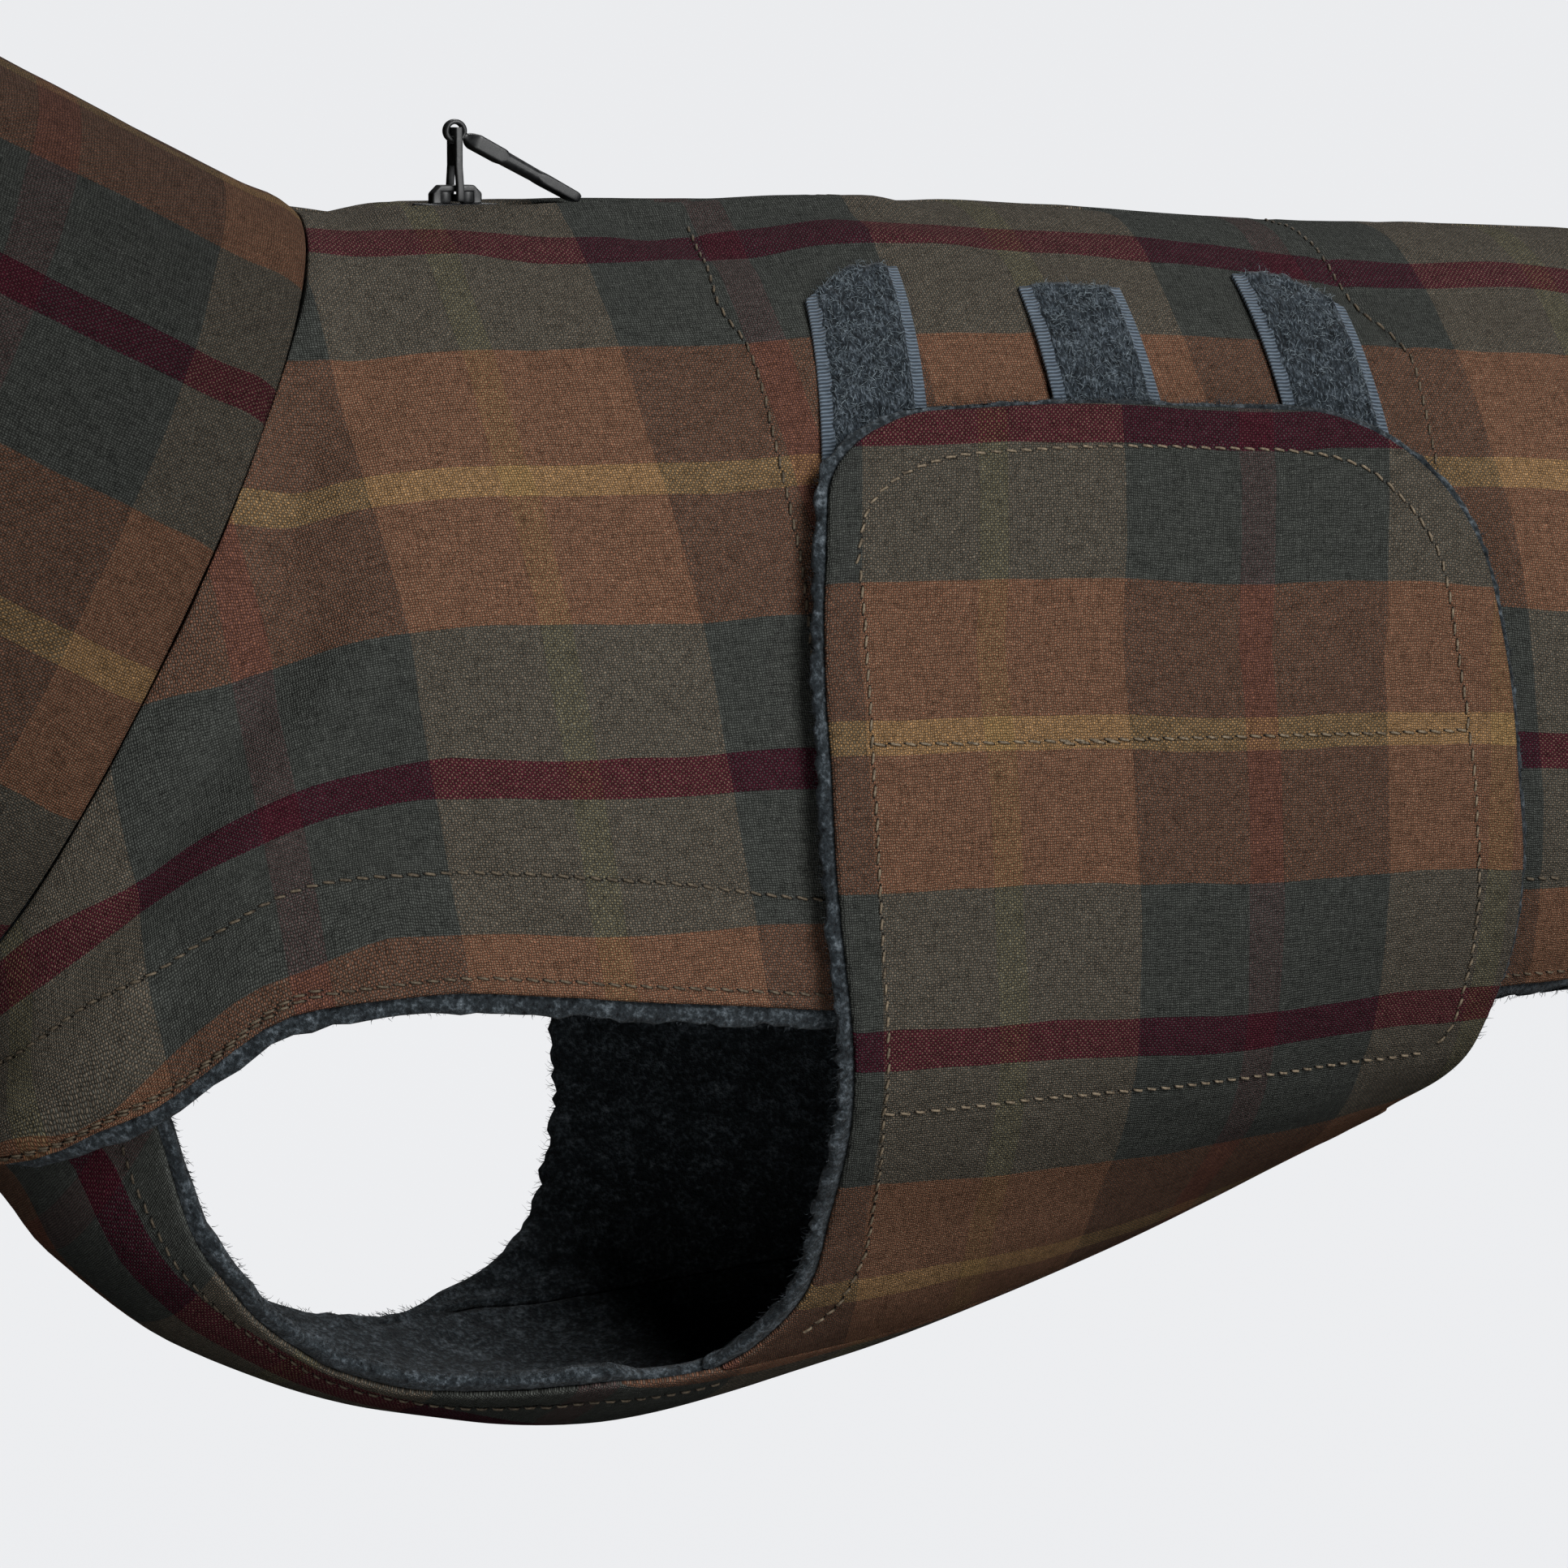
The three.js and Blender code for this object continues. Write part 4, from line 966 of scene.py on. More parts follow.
def thread_material(name="thread", tone=1.0):
    """Twisted thread. The cloth map's u runs along each stitch, whose ends are painted nearly black as shade
    in their needle holes. tone darkens the whole thread as painted shade.
    """
    sh = Shader(name, 0.7, specular=0.2)
    along, _ = sh.cloth()
    twist = sh.noise(sh.place(), 1500.0, 2.0)
    colour = sh.ramp(twist, [(0.3, linear(72, 63, 52)), (0.7, linear(136, 122, 102))])
    # Painted shade: tone darkens the whole thread, and each stitch's ends go nearly black where shade falls
    # in the needle holes
    lit = (tone, tone, tone, 1)
    hole_shade = sh.ramp(sh.math("PINGPONG", along, 0.5), [(0.12, (0.02, 0.02, 0.02, 1)), (0.22, lit)])
    sh.set_colour(sh.mix("MULTIPLY", 1.0, colour, hole_shade))
    sh.set_normal(sh.bump(twist, 0.0001, 0.6))
    return sh.material


def plastic_material():
    sh = Shader("black_plastic", 0.42, specular=0.5)
    place = sh.place()
    grain = sh.noise(place, 900.0, 3.0)
    sh.set_colour(sh.ramp(grain, [(0.3, linear(26, 27, 28)), (0.75, linear(46, 47, 48))]))
    sh.feed(sh.out.inputs["Roughness"], sh.scaled(grain, 0.3, 0.28))
    sh.set_normal(sh.bump(grain, 0.0001, 0.4))
    return sh.material


# Width of two ribs of the zip tape
TAPE_RIB = 0.7


def tape_material():
    """Woven zip tape. The cloth map's u runs along it."""
    sh = Shader("zip_tape", 0.95, specular=0.05)
    along, _ = sh.cloth()
    rib = sh.math("SINE", sh.times(along, 2 * math.pi / TAPE_RIB))
    tone = sh.scaled(rib, 0.2, sh.noise(sh.place(), 1100.0, 2.0))
    sh.set_colour(sh.ramp(tone, [(0.2, linear(14, 14, 15)), (0.8, linear(38, 38, 39))]))
    sh.set_normal(sh.bump(tone, 0.0002, 0.6))
    return sh.material


plaid = plaid_material()
# Painted shade: the collar's copy of the check is darkened to 0.62 and the wings' to 0.92, for the shade
# that falls on them
plaid_collar_shaded = plaid_material("plaid_collar_shaded", 0.62)
plaid_wing_shaded = plaid_material("plaid_wing_shaded", 0.92)
fleece = fleece_material()
pile = pile_material()
pile_hair = pile_hair_material()
thread = thread_material()
# Painted shade: darker copies of the same thread, 0.62 on the back and 0.35 on the chest, for the shade that
# falls there
thread_back_shaded = thread_material("thread_back_shaded", 0.62)
thread_chest_shaded = thread_material("thread_chest_shaded", 0.35)
plastic = plastic_material()
zip_tape = tape_material()


def finish_piece(obj, material, slot, body, *nodes):
    obj.data.materials.append(material)
    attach(obj, body)
    if nodes:
        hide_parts(*nodes)
    return obj


# Back panels
# Size of the cloth's mesh, how far the fleece stands past the cloth, and its mesh's steps at an edge
CELL = 2.3
NAP = {"reach": 4.0, "edge": 2.6, "swell": 0.6}
NAP_FINE = (0.4, 1.0, 1.8, 2.7, 3.7)
# How far back from the fleece's edge its fibres start, how long they are, and how many lie along each edge
NAP_DEEP = 3.2
NAP_LONG = (0.8, 2.0)
NAP_COUNT = {"back": 2000, "front": 750, "top": 400, "rear": 450, "strip": 1000}
# s of the panel's first row, and how far its fleece stands past the tail hem
NECK_START = 0.3
TAIL_PROUD = 2
# Lengths that each mesh is divided by, along the coat and round it
GRID = {"back": (480, 190), "wing": (125, 215), "strip": (230, 90), "collar": 118}
back_lines = [curve_points(points) for points in BACK_STITCHES.values()]
edge_s = np.linspace(13, BACK_LENGTH - HEM_CORNER["length"], 200)
back_lines.append(np.stack([edge_s, lower_edge(edge_s) - EDGE_STITCH["in"]], -1))
edge_s = np.linspace(14, EDGE_STITCH["second_to"], 40)
back_lines.append(np.stack([edge_s, lower_edge(edge_s) - EDGE_STITCH["second"]], -1))


def back_height(side, s, down):
    seed = 11 if side == "left" else 17
    creases = CREASE["deep"] * troughs(CREASES, s, down)
    return relief(s, down) + creases + crumple(s, down, seed) + sewn(back_lines, s, down)


def pressed(s, down):
    """How far the deeper creases push the layers below them in."""
    return np.minimum(0, CREASE["deep"] * troughs(CREASES, s, down) + CREASE["free"])


def ragged(at, seed):
    """Uneven reach of a fleece edge."""
    return 0.55 * noise(at / 1.9, 0, seed) + 0.35 * noise(at / 0.9, 0, seed + 1)


def lumps(a, b, seed):
    """The fleece's uneven thickness."""
    return 0.45 * noise(a / 2.6, b / 2.6, seed) + 0.35 * noise(a / 6, b / 6, seed + 1)


def fleece_faces(away, beyond, a, b, seed):
    """Levels of the fleece's faces: rounded off at its edge, and fuller where it stands past the cloth."""
    share = np.clip(away / NAP["edge"], 0, 1)
    full = np.sqrt(1 - (1 - share) ** 2)
    lump = lumps(a, b, seed)
    fine = 0.35 * noise(a / 1.3, b / 1.3, seed + 2)
    swell = smooth(beyond / 1.2) * (NAP["swell"] + fine + 0.5 * lump) * full
    return -SEAM / 2 + swell, -SEAM / 2 - FLEECE * (0.3 + 0.7 * full) + lump * full


for side in SIDES:
    base = NECK_START + (BACK_LENGTH - NECK_START) * spaced(GRID["back"][0], CELL)[:, None]
    share = spaced(GRID["back"][1], CELL)[None, :]
    s, down = back_place(base, share)
    height = back_height(side, s, down)
    away = np.minimum(lower_edge(s) - down, down - centre_edge(s))
    away = np.minimum(away, (BACK_LENGTH - base) + 0 * share)
    outer = place(side, s, down, OUTSIDE + height - rounded(away, EDGE_ROLL))
    inner = place(side, s, down, SEAM / 2 + relief(s, down) + pressed(s, down))
    u, v = back_weave(s, down)
    obj = wall(f"back_cloth_{side}", outer, inner, np.stack([u, v], -1))
    finish_piece(obj, plaid, "plaid", "coat", f"back_{side}")

    seed = 21 if side == "left" else 121
    length = BACK_LENGTH + TAIL_PROUD - NECK_START
    base = NECK_START + length * spaced(GRID["back"][0], 1.8, NAP_FINE)[:, None]
    share = spaced(GRID["back"][1], 3.4, NAP_FINE)[None, :]
    proud = NAP["reach"] + ragged(base, seed)
    s, down = back_place(base, share, proud)
    s = s + ragged(down, seed + 4) * smooth((base - BACK_LENGTH + 6) / 8)
    _, edge_down = back_place(base, 1.0, proud)
    away = np.minimum(edge_down - down, (BACK_LENGTH + TAIL_PROUD - base) + 0 * share)
    high, low = fleece_faces(away, down - lower_edge(s), s, down, seed)
    outer = place(side, s, down, high + relief(s, down) + pressed(s, down))
    inner = place(side, s, down, low + relief(s, down))
    obj = wall(f"back_fleece_{side}", outer, inner, np.stack([s, down], -1))
    finish_piece(obj, fleece, "fleece", "coat", f"back_lining_{side}")

    # Fibres along the lower edge
    rng = np.random.default_rng(seed)
    at = rng.uniform(18, BACK_LENGTH - HEM_CORNER["length"] + 10, NAP_COUNT["back"])
    proud = NAP["reach"] - 0.2 - rng.uniform(0, 1, at.size) ** 2 * NAP_DEEP
    s, down = back_place(at, np.ones(at.size), proud)
    slope = edge_slope(s)
    slant = np.hypot(1, slope)
    lean = rng.normal(0, 0.5, at.size)
    da, db = (-slope + lean) / slant, (1 + slope * lean) / slant
    surface = lambda a, b, level, side=side: place(side, a, b, level + relief(a, b))
    obj = nap(f"back_nap_{side}", surface, s, down, da, db, rng.uniform(-2.4, 0.5, at.size), seed,
              NAP_LONG)
    finish_piece(obj, fleece, "fleece", "coat")

# Wings
WING_NAP = 2.3
wing_lines = [curve_points(points) for points in WING_STITCHES.values()]


def wing_away(side, s, down):
    """Distance from the nearest free edge of a wing."""
    below = down - WING["top"]
    front = s - wing_front[side](down) - corner_in("front", below)
    rear = wing_rear(down) - corner_in("rear", below) - s
    return np.minimum(np.minimum(front, rear), below)


def wing_height(side, s, down):
    seed = 31 if side == "left" else 37
    soft = crumple(s, down, seed, 0.7) + troughs(WING_CREASES, s, down)
    return soft * smooth(wing_away(side, s, down) / 12) + sewn(wing_lines, s, down, 0.35, 1.2)


for side in SIDES:
    along = spaced(GRID["wing"][0], CELL)[:, None]
    share = spaced(GRID["wing"][1], CELL)[None, :]
    share = np.broadcast_to(share, (len(along), share.shape[1]))
    s, down = wing_place(side, along, share)
    lift = wing_lift(side, s, down)
    front = wing_edge(side, "front", share)
    rear = wing_edge(side, "rear", share)
    away = np.minimum(np.minimum(s - front, rear - s), (down - WING["top"]))
    outer = place(side, s, down, lift + OUTSIDE + wing_height(side, s, down) - rounded(away, EDGE_ROLL))
    inner = place(side, s, down, lift + SEAM / 2)
    u, v = wing_weave(s, down)
    obj = wall(f"wing_cloth_{side}", outer, inner, np.stack([u, v], -1))
    finish_piece(obj, plaid_wing_shaded, "plaid", "coat", f"wing_{side}")

    seed = 61 if side == "left" else 161
    along = spaced(GRID["wing"][0], 2.6, NAP_FINE)[:, None]
    share = spaced(GRID["wing"][1], 1.9, NAP_FINE)[None, :]
    share = np.broadcast_to(share, (along.size, share.size))
    reach = WING_NAP + ragged(215 * share + 60 * along, seed)
    s, down = wing_place(side, along, share, reach)
    lift = wing_lift(side, s, down)
    front = wing_edge(side, "front", share) - reach * WING_PROUD["front"]
    rear = wing_edge(side, "rear", share) + reach * WING_PROUD["rear"]
    away = np.minimum(np.minimum(s - front, rear - s), down - WING["top"] + reach * WING_PROUD["top"])
    high, low = fleece_faces(away, -wing_away(side, s, down), s, down, seed)
    outer = place(side, s, down, lift + high)
    inner = place(side, s, down, lift + low)
    obj = wall(f"wing_fleece_{side}", outer, inner, np.stack([s, down], -1))
    finish_piece(obj, fleece, "fleece", "coat", f"wing_lining_{side}")

    # Fibres along the front, top and rear edges
    rng = np.random.default_rng(seed)
    places = []
    for edge in ("front", "top", "rear"):
        count = NAP_COUNT[edge]
        run, other = rng.uniform(0, 1, count), np.full(count, 1.0 if edge == "rear" else 0.0)
        along, share = (run, other) if edge == "top" else (other, run)
        inside, outside = (
            wing_place(side, along, share, WING_NAP - 0.2 - rng.uniform(0, 1, count) ** 2 * 2 + extra)
            for extra in (0, 1)
        )
        places.append(np.stack([inside[0], inside[1], outside[0] - inside[0], outside[1] - inside[1]]))
    s, down, da, db = np.concatenate(places, 1)
    surface = lambda a, b, level, side=side: place(side, a, b, level + wing_lift(side, a, b))
    obj = nap(f"wing_nap_{side}", surface, s, down, da, db, rng.uniform(-2.6, 0.3, s.size), seed,
              NAP_LONG)
    finish_piece(obj, fleece, "fleece", "coat")

# Chest and belly strip
chest_line = curve_points(CHEST_STITCH)
along = spaced(GRID["strip"][0], CELL)[:, None]
across = 2 * spaced(GRID["strip"][1], CELL)[None, :] - 1
s, up = strip_place(along, across)
across = np.broadcast_to(across, s.shape)


def strip_points(s, up, across, level):
    left = place("left", s, half_girth(s) - up, tuck(s, up) + level)
    right = left * np.array([1, -1, 1])
    return np.where((across <= 0)[..., None], left, right)


def chest_height(s, up, across):
    edge_away = strip_edge_away(s, across)
    soft = crumple(s, up * across, 43, 0.6) * smooth((s - 40) / 20) * smooth(edge_away / 10)
    return soft + sewn([chest_line], s, up, 0.35, 1.2)


edge_away = strip_edge_away(s, across)
outer = strip_points(s, up, across, OUTSIDE + chest_height(s, up, across) - rounded(edge_away, EDGE_ROLL))
inner = strip_points(s, up, across, SEAM / 2 + 0 * s)
u, v = strip_weave(s, up)
strip = wall("chest_cloth", outer, inner, np.stack([u, v], -1))
finish_piece(strip, plaid, "plaid", "coat", "chest_strip")


def chest_shows(s, across):
    """1 where the strip's fleece stands past its cloth at the leg opening, 0 under the wings."""
    end = np.where(across <= 0, STRIP_LINING["left"], STRIP_LINING["right"])
    return 1 - smooth((s - end) / STRIP_LINING["fade"])


along = spaced(GRID["strip"][0], 2.0, NAP_FINE)[:, None]
across = 2 * spaced(96, 2.8, NAP_FINE)[None, :] - 1
s, up = strip_place(along, across)
across = np.broadcast_to(across, s.shape)
shows = chest_shows(s, across)
reach = (NAP["reach"] + ragged(s, 25)) * shows - HIDDEN_ROW * (1 - shows)
up = up + np.abs(across) ** 3 * reach
away = strip_reach(s, across) - SEAM / 2 + reach - up
high, low = fleece_faces(away, (up - strip_reach(s, across)) * shows, s, up * across, 25)
outer = strip_points(s, up, across, high)
inner = strip_points(s, up, across, low)
lining = wall("chest_fleece", outer, inner, np.stack([s, up * across], -1))
finish_piece(lining, fleece, "fleece", "coat", "chest_strip_lining")

for side, sign in (("left", -1.0), ("right", 1.0)):
    rng = np.random.default_rng(91 if side == "left" else 92)
    s = rng.uniform(24, STRIP_LINING[side] + 4, NAP_COUNT["strip"])
    reach = strip_half[side]
    up = reach(s) + NAP["reach"] - 0.2 - rng.uniform(0, 1, s.size) ** 2 * NAP_DEEP
    slope = reach(s + 0.5) - reach(s - 0.5)
    slant = np.hypot(1, slope)
    surface = lambda a, b, level, sign=sign: strip_points(a, b, np.full_like(a, sign), level)
    level = rng.uniform(-2.6, -0.2, s.size)
    obj = nap(f"chest_nap_{side}", surface, s, up, -slope / slant, 1 / slant, level, 93)
    finish_piece(obj, fleece, "fleece", "coat")

# Collar, with a soft swelling beside its seam
COLLAR_BULGE = {"high": 0.9, "at": 5, "wide": 4}
turn = np.linspace(0, 1, 191)[:-1, None]
along = (COLLAR["height"] * spaced(GRID["collar"], CELL))[None, :]
turn, along = np.broadcast_arrays(turn, along)
bulge = COLLAR_BULGE["high"] * np.exp(-(((along - COLLAR_BULGE["at"]) / COLLAR_BULGE["wide"]) ** 2))
point, down = collar_point(turn, along, np.zeros_like(along))
signed = np.where(turn <= 0.5, down, -down)
height = crumple(along, signed, 53, 0.8) * smooth(along / 6)
away = np.minimum(along, COLLAR["height"] - along)
outer, _ = collar_point(turn, along, OUTSIDE + height + bulge - rounded(away, COLLAR_ROLL))
inner, _ = collar_point(turn, along, SEAM / 2 + 0 * along)
u, v = collar_weave(along, down)
collar = wall("collar_cloth", outer, inner, np.stack([u, v], -1), closed=True)
finish_piece(collar, plaid_collar_shaded, "plaid", "coat", "collar")

turn = np.linspace(0, 1, 151)[:-1, None]
along = (COLLAR["height"] * spaced(GRID["collar"], 3.0))[None, :]
turn, along = np.broadcast_arrays(turn, along)
_, down = collar_point(turn, along, np.zeros_like(along))
signed = np.where(turn <= 0.5, down, -down)
lump = lumps(along, signed, 27)
outer, _ = collar_point(turn, along, -SEAM / 2 + 0 * along)
inner, _ = collar_point(turn, along, -SEAM / 2 - FLEECE + lump)
lining = wall("collar_fleece", outer, inner, np.stack([along, signed], -1), closed=True)
finish_piece(lining, fleece, "fleece", "coat", "collar_lining")

# Loop strips
HAIRS = {"count": 1200, "long": (0.8, 2.4), "rise": 0.55, "wide": 0.075}
for n, (top, bottom, front_top, front_bottom, wide, cut_front, cut_rear) in enumerate(LOOP_STRIPS):
    def strip_at(across, share):
        cut = cut_front * np.maximum(0, 1 - across * 2) + cut_rear * np.maximum(0, across * 2 - 1)
        down = top + cut + (bottom - top - cut) * share
        s = front_top + (front_bottom - front_top) * (down - top) / (bottom - top) + wide * across
        return np.broadcast_arrays(s, down)

    for side in SIDES:
        across = spaced(wide, 0.6, (0.15, 0.4))[:, None]
        share = np.linspace(0, 1, 61)[None, :]
        s, down = strip_at(across, share)
        level = relief(s, down) + OUTSIDE + PILE["gap"]
        near = np.minimum(across, 1 - across) * wide + 0 * share
        middle = smooth((near - SELVAGE["wide"] + 0.5) / 1.0)
        fuzz = 0.4 * noise(s / 0.9, down / 0.9, 71 + n) + 0.3 * noise(s / 2.6, down / 2.6, 75 + n)
        thick = SELVAGE["thick"] + (PILE["thick"] - SELVAGE["thick"]) * middle
        outer = place(side, s, down, level + thick + fuzz * middle - rounded(near, 0.5))
        inner = place(side, s, down, level)
        obj = wall(f"loop_tape_{side}_{n + 1}", outer, inner, np.stack([near, down], -1))
        finish_piece(obj, pile, "loop_tape", "coat", f"loop_strip_{side}_{n + 1}")

        rng = np.random.default_rng(81 + n)
        inset = SELVAGE["wide"] / wide
        count = HAIRS["count"]
        s, down = strip_at(rng.uniform(inset, 1 - inset, count), rng.uniform(0.0, 1, count) ** 1.15)
        turn = rng.uniform(0, 2 * math.pi, count)
        surface = lambda a, b, level, side=side: place(
            side, a, b, level + relief(a, b) + OUTSIDE + PILE["gap"])
        level = np.full(count, PILE["thick"] - 0.1)
        obj = nap(f"loop_hairs_{side}_{n + 1}", surface, s, down, np.cos(turn), np.sin(turn), level, 85 + n,
                  HAIRS["long"], HAIRS["rise"], HAIRS["wide"])
        finish_piece(obj, pile_hair, "loop_tape", "coat")

# Stitching
for side in SIDES:
    def stitched(name, lines, material, surface, side=side):
        def on_cloth(a, b):
            points = surface(a, b, 0.0)
            normal = np.cross(surface(a + 0.5, b, 0.0) - points, surface(a, b + 0.5, 0.0) - points)
            outwards = surface(a, b, 1.0) - points
            normal *= np.sign((normal * outwards).sum(-1, keepdims=True))
            return points, unit(normal)

        obj = stitch_mesh(f"{name}_{side}", lines, on_cloth)
        finish_piece(obj, material, "plaid", "coat")

    stitched("back_stitches", back_lines, thread_back_shaded,
             lambda a, b, level, side=side: place(side, a, b, OUTSIDE + back_height(side, a, b) + level))
    stitched("wing_stitches", wing_lines, thread,
             lambda a, b, level, side=side: place(
                 side, a, b, OUTSIDE + wing_lift(side, a, b) + wing_height(side, a, b) + level))
    across_sign = -1.0 if side == "left" else 1.0
    stitched("chest_stitches", [chest_line], thread_chest_shaded,
             lambda a, b, level, sign=across_sign: strip_points(
                 a, b, np.full_like(a, sign), OUTSIDE + chest_height(a, b, np.full_like(a, sign)) + level))


# Zip hardware, on the solids' own sizes
TEETH = {"pitch": 2.4, "long": 0.62, "thick": 0.85, "level": -0.35, "first": 0.6, "sides": 8}
# Along a tooth from its root to past the middle: y, size
TOOTH = [(-3.3, 0.7), (-3.1, 1.0), (-0.8, 1.0), (-0.1, 0.72), (0.4, 1.08), (0.7, 0.8)]
TAPE = {"low": -1.5, "high": -0.95, "inner": 0.4, "outer": 4.4, "past": 1.5}
EYE = {"ring": 1.8, "section": 0.5, "half_wide": 1.2, "steps": 44, "around": 14}
# Along the grip: x, half width, half thickness, squareness
GRIP = [
    (1.6, 1.1, 0.6, 3), (2.6, 1.2, 0.85, 3), (3.2, 2.1, 1.25, 4), (4.4, 2.76, 1.5, 8), (10.2, 2.8, 1.45, 8),
    (11.2, 2.8, 1.4, 2.6), (18.5, 2.8, 1.25, 2.5), (20.5, 2.8, 1.18, 6), (27, 2.8, 1.02, 8),
    (27.7, 2.7, 0.92, 6), (28, 2.45, 0.75, 5),
]
TAB_PIVOT, TAB_FALL = (-100, 0, 18.85), 28
GRIP_SIDES, GRIP_RINGS = 32, 56
# The slider's bridge: its middle, and the blocks' reach from the middle, half height and half width
SLIDER = {"x": -100, "z": 6.2, "from": 1.15, "to": 3.4, "half_high": 1.25, "half_wide": 1.45}
SLIDER_SIDES = 16


def squared(half_a, half_b, power, sides):
    """Points of a rounded rectangle about the origin."""
    angle = around(sides, 0.5)
    c, s = np.cos(angle), np.sin(angle)
    grow = lambda v: np.sign(v) * np.abs(v) ** (2 / power)
    return half_a * grow(c), half_b * grow(s)


def zip_chain():
    teeth = []
    sides = TEETH["sides"]
    first, last = ZIP["start"] + ZIP["end_round"], ZIP["end"] - ZIP["end_round"]
    for k in range(int((last - first) / TEETH["pitch"] * 2)):
        s = first + TEETH["first"] + k * TEETH["pitch"] / 2
        middle = place("left", s, 0, TEETH["level"])
        sign = -1 if k % 2 else 1
        x, z = squared(TEETH["long"], TEETH["thick"], 4, sides)
        rings = [np.stack([x * size, np.full(sides, y * sign), z * size], -1) for y, size in TOOTH]
        teeth.append((middle * np.array([1, 0, 1]) + np.stack(rings)).reshape(-1, 3))
    obj = make_mesh("zip_teeth", np.concatenate(teeth), hair_faces(len(teeth), len(TOOTH), sides))
    finish_piece(obj, plastic, "zip_plastic", "coat", "zip_chain")
    s = np.linspace(ZIP["start"] - TAPE["past"], ZIP["end"] + TAPE["past"], 70)[:, None]
    inner = TAPE["inner"] * zip_opened(s)
    y = inner + (TAPE["outer"] - inner) * np.linspace(0, 1, 9)[None, :]
    for name, sign in (("left", -1), ("right", 1)):
        faces = []
        for level in (TAPE["high"], TAPE["low"]):
            points = place("left", s, 0 * y, level + 0 * y)
            points[..., 1] = sign * y
            faces.append(points)
        obj = wall(f"zip_tape_{name}", *faces, np.stack(np.broadcast_arrays(s, y), -1))
        finish_piece(obj, zip_tape, "zip_plastic", "coat")


def bevelled(name, body, width):
    """A node's form with its edges rounded off."""
    bm = bmesh.new()
    bm.from_mesh(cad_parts[name].data)
    bmesh.ops.remove_doubles(bm, verts=bm.verts, dist=1e-6)
    bmesh.ops.dissolve_limit(bm, angle_limit=math.radians(2), verts=bm.verts, edges=bm.edges)
    sharp = [edge for edge in bm.edges if edge.calc_face_angle(0) > math.radians(25)]
    bmesh.ops.bevel(
        bm, geom=sharp, offset=width * MM, segments=3, profile=0.5, affect="EDGES", clamp_overlap=True
    )
    mesh = bpy.data.meshes.new(name + "_smooth")
    bm.to_mesh(mesh)
    bm.free()
    mesh.polygons.foreach_set("use_smooth", np.ones(len(mesh.polygons), bool))
    mesh.set_sharp_from_angle(angle=math.radians(40))
    obj = bpy.data.objects.new(name + "_smooth", mesh)
    bpy.context.scene.collection.objects.link(obj)
    finish_piece(obj, plastic, "zip_plastic", body, name)


def pull_tab():
    a = around(EYE["steps"])
    radial, wide = squared(EYE["section"], EYE["half_wide"], 3, EYE["around"])
    radius = EYE["ring"] + radial[None, :]
    x, z = radius * np.cos(a)[:, None], radius * np.sin(a)[:, None]
    eye = np.stack([x, np.broadcast_to(wide, x.shape), z], -1)
    ids = np.arange(eye.shape[0] * eye.shape[1]).reshape(eye.shape[:2])
    right, below = np.roll(ids, -1, 0), np.roll(ids, -1, 1)
    both = np.roll(right, -1, 1)
    eye_faces = np.stack([ids, right, both, below], -1).reshape(-1, 4)
    eye_faces = np.concatenate([eye_faces[:, :3], eye_faces[:, [0, 2, 3]]])
    at = np.linspace(GRIP[0][0], GRIP[-1][0], GRIP_RINGS)
    rows = np.array([np.interp(at, [row[0] for row in GRIP], [row[k] for row in GRIP]) for k in range(4)]).T
    rings = [
        np.stack([np.full(GRIP_SIDES, x), *squared(w, h, power, GRIP_SIDES)], -1) for x, w, h, power in rows
    ]
    grip_faces = hair_faces(1, GRIP_RINGS, GRIP_SIDES) + len(eye.reshape(-1, 3))
    points = np.concatenate([eye.reshape(-1, 3), np.concatenate(rings)])
    fall = math.radians(TAB_FALL)
    x, z = points[:, 0].copy(), points[:, 2].copy()
    points[:, 0] = x * math.cos(fall) + z * math.sin(fall)
    points[:, 2] = z * math.cos(fall) - x * math.sin(fall)
    obj = make_mesh("pull_tab_smooth", points + np.array(TAB_PIVOT), np.concatenate([eye_faces, grip_faces]))
    finish_piece(obj, plastic, "zip_plastic", "pull_tab", "pull_tab")


def bridge_cheeks():
    """Blocks that close the bridge on both sides of the link's bar."""
    middle = np.array([SLIDER["x"], 0, SLIDER["z"]])
    z, y = squared(SLIDER["half_high"], SLIDER["half_wide"], 6, SLIDER_SIDES)
    rings = []
    for sign in (-1, 1):
        for k, size in ((0, 0.8), (0.12, 1.0), (0.88, 1.0), (1, 0.8)):
            x = sign * SLIDER["from"] + (SLIDER["to"] - SLIDER["from"]) * k * sign
            rings.append(middle + np.stack([np.full(SLIDER_SIDES, x), y * size, z * size], -1))
    obj = make_mesh("slider_cheeks", np.concatenate(rings), hair_faces(2, 4, SLIDER_SIDES))
    finish_piece(obj, plastic, "zip_plastic", "coat")


zip_chain()
bevelled("zip_slider", "coat", 0.4)
bridge_cheeks()
bevelled("pull_link", "pull_link", 0.25)
pull_tab()

# Camera
azimuth, elevation = math.radians(CAMERA["azimuth"]), math.radians(CAMERA["elevation"])
level = math.cos(elevation)
back = Vector((math.sin(azimuth) * level, -math.cos(azimuth) * level, math.sin(elevation)))
target = Vector(CAMERA["target"]) * MM
camera = bpy.data.objects.new("camera", bpy.data.cameras.new("camera"))
camera.location = target + back * CAMERA["distance"] * MM
camera.rotation_euler = (-back).to_track_quat("-Z", "Y").to_euler()
camera.data.sensor_width = SENSOR
camera.data.lens = CAMERA["px_per_mm"] * CAMERA["distance"] / IMAGE * SENSOR
bpy.context.scene.collection.objects.link(camera)
bpy.context.scene.camera = camera

# Floor with a curved rise behind
PALE = (0.828, 0.836, 0.855, 1)
FLOOR = {"z": -0.48, "near": -6.0, "far": 3.0, "bend": 1.5, "high": 5.0, "half": 8.0}


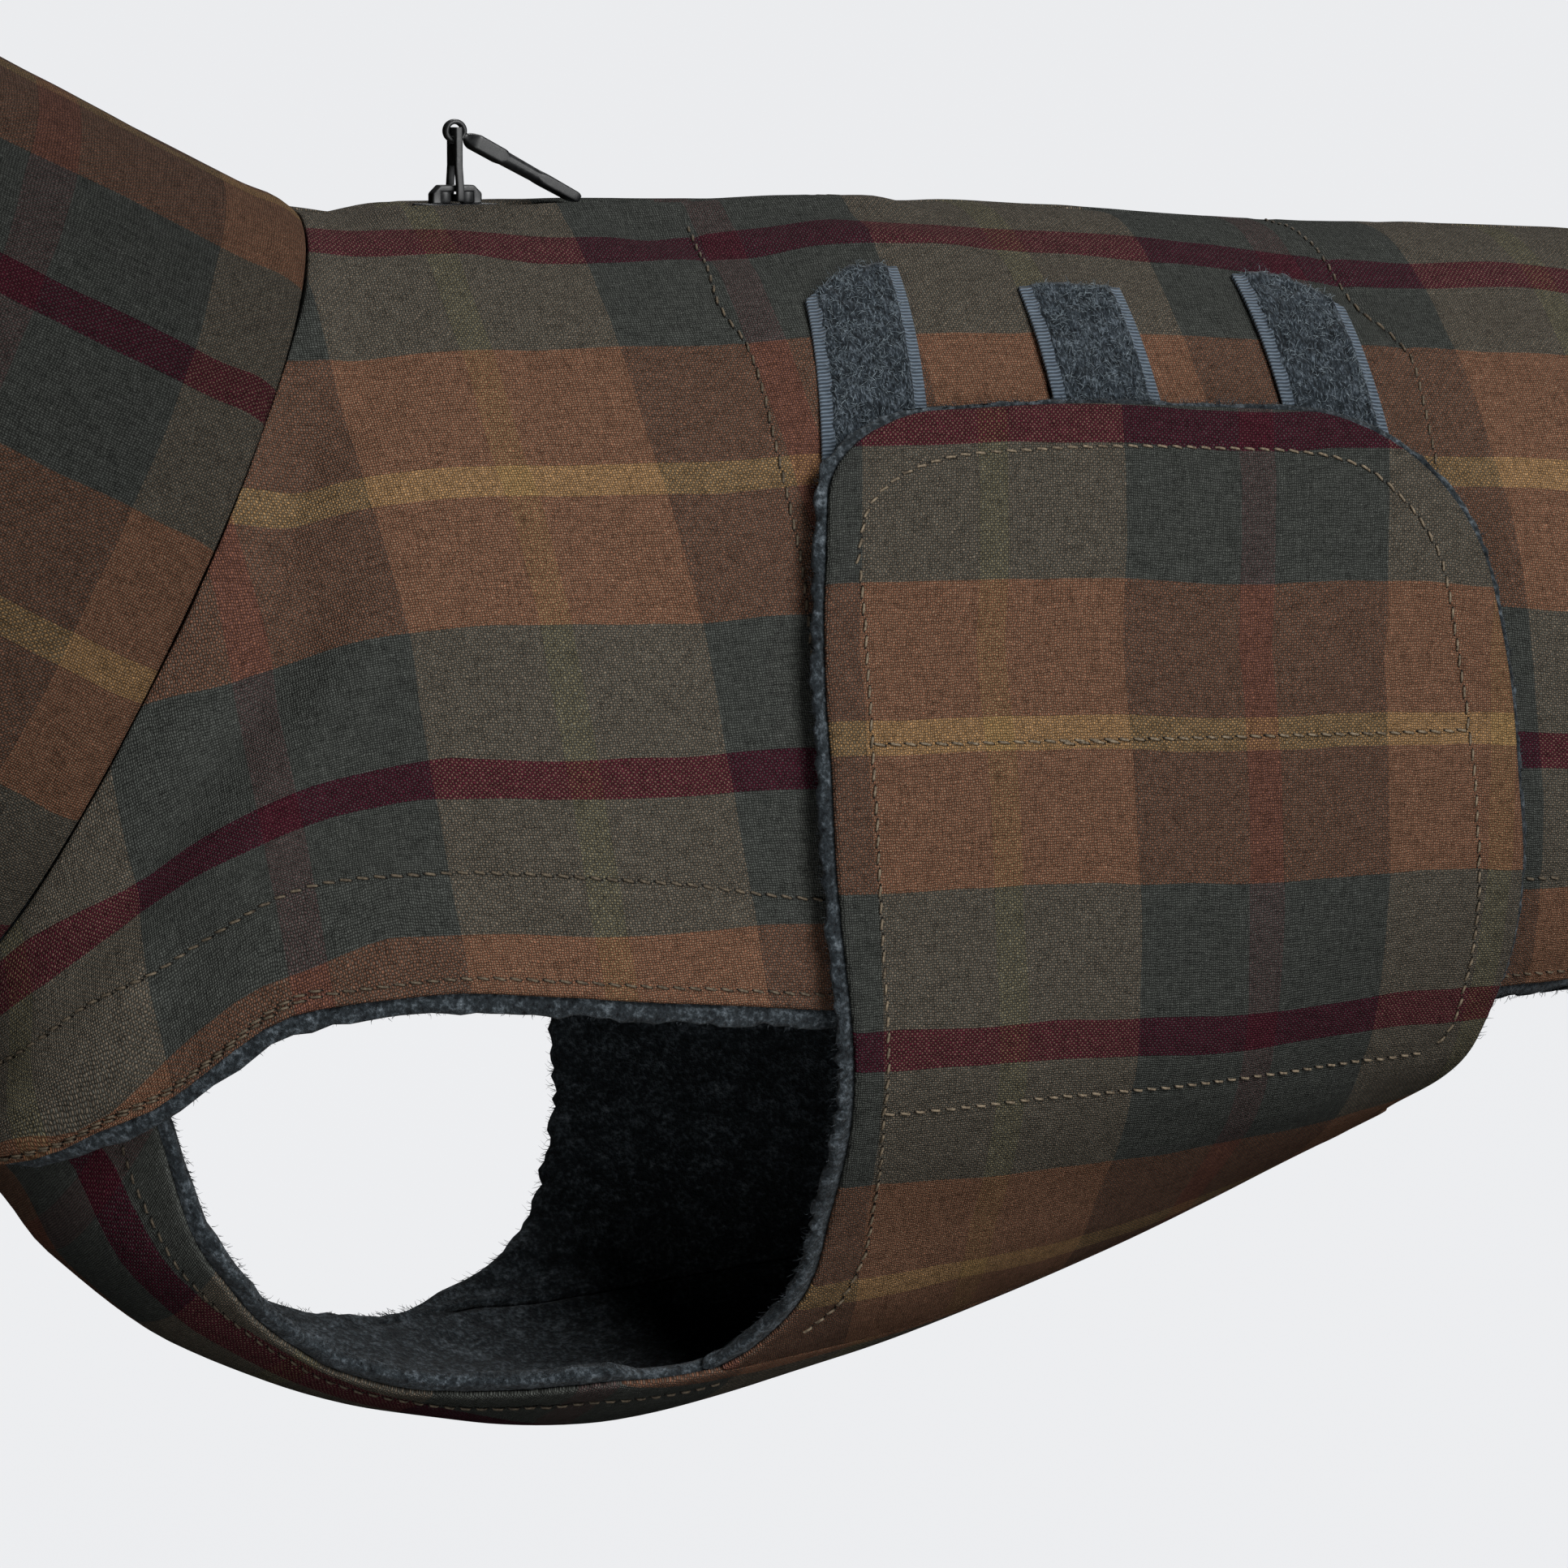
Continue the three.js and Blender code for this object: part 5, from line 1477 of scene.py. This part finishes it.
def stage_floor():
    """The floor, turned so that its rise lies behind the coat from the camera."""
    profile = [(FLOOR["near"], FLOOR["z"]), (FLOOR["far"], FLOOR["z"])]
    for k in range(1, 13):
        angle = k / 12 * math.pi / 2
        profile.append((FLOOR["far"] + FLOOR["bend"] * math.sin(angle),
                        FLOOR["z"] + FLOOR["bend"] * (1 - math.cos(angle))))
    profile.append((FLOOR["far"] + FLOOR["bend"], FLOOR["high"]))
    points = [(x, y, z) for y, z in profile for x in (-FLOOR["half"], FLOOR["half"])]
    faces = [(2 * k, 2 * k + 1, 2 * k + 3, 2 * k + 2) for k in range(len(profile) - 1)]
    obj = make_mesh("floor", np.array(points) / MM, faces)
    sh = Shader("pale_floor", 1.0, specular=0.0)
    sh.out.inputs["Base Color"].default_value = (0.02, 0.02, 0.02, 1)
    sh.out.inputs["Emission Color"].default_value = PALE
    sh.out.inputs["Emission Strength"].default_value = 1.0
    obj.data.materials.append(sh.material)
    obj.rotation_euler = (0, 0, azimuth)
    obj.visible_diffuse = False
    obj.visible_glossy = False


stage_floor()

# Soft studio light
def area_light(name, place_at, aim, size, power, glossy):
    data = bpy.data.lights.new(name, "AREA")
    data.shape = "DISK"
    data.size = size
    data.energy = power
    obj = bpy.data.objects.new(name, data)
    obj.location = place_at
    obj.rotation_euler = (Vector(aim) - Vector(place_at)).to_track_quat("-Z", "Y").to_euler()
    obj.visible_glossy = glossy
    bpy.context.scene.collection.objects.link(obj)


# Name, place and aim in metres, width, power in watts, whether it shows in reflections
LIGHTS = [
    ("key", (0.55, -2.15, 1.25), (0.05, 0, -0.1), 1.4, 64, True),
    ("fill", (0.5, -2.3, -0.5), (0.05, 0, -0.12), 1.6, 28, True),
    ("back", (0.6, 1.5, 1.9), (0.08, 0, -0.05), 1.3, 25, True),
    ("far", (0.3, 2.3, 0.5), (0.05, 0, -0.1), 1.4, 14, False),
    ("low", (-0.5, -0.65, -0.5), (-0.08, 0, -0.26), 0.7, 3.6, True),
]
for light in LIGHTS:
    area_light(*light)
world = bpy.data.worlds.new("studio")
world.use_nodes = True
world.node_tree.nodes["Background"].inputs["Color"].default_value = PALE
world.node_tree.nodes["Background"].inputs["Strength"].default_value = 1.0
world.cycles_visibility.diffuse = False
world.cycles_visibility.glossy = False
bpy.context.scene.world = world
bpy.context.scene.view_settings.view_transform = "Standard"
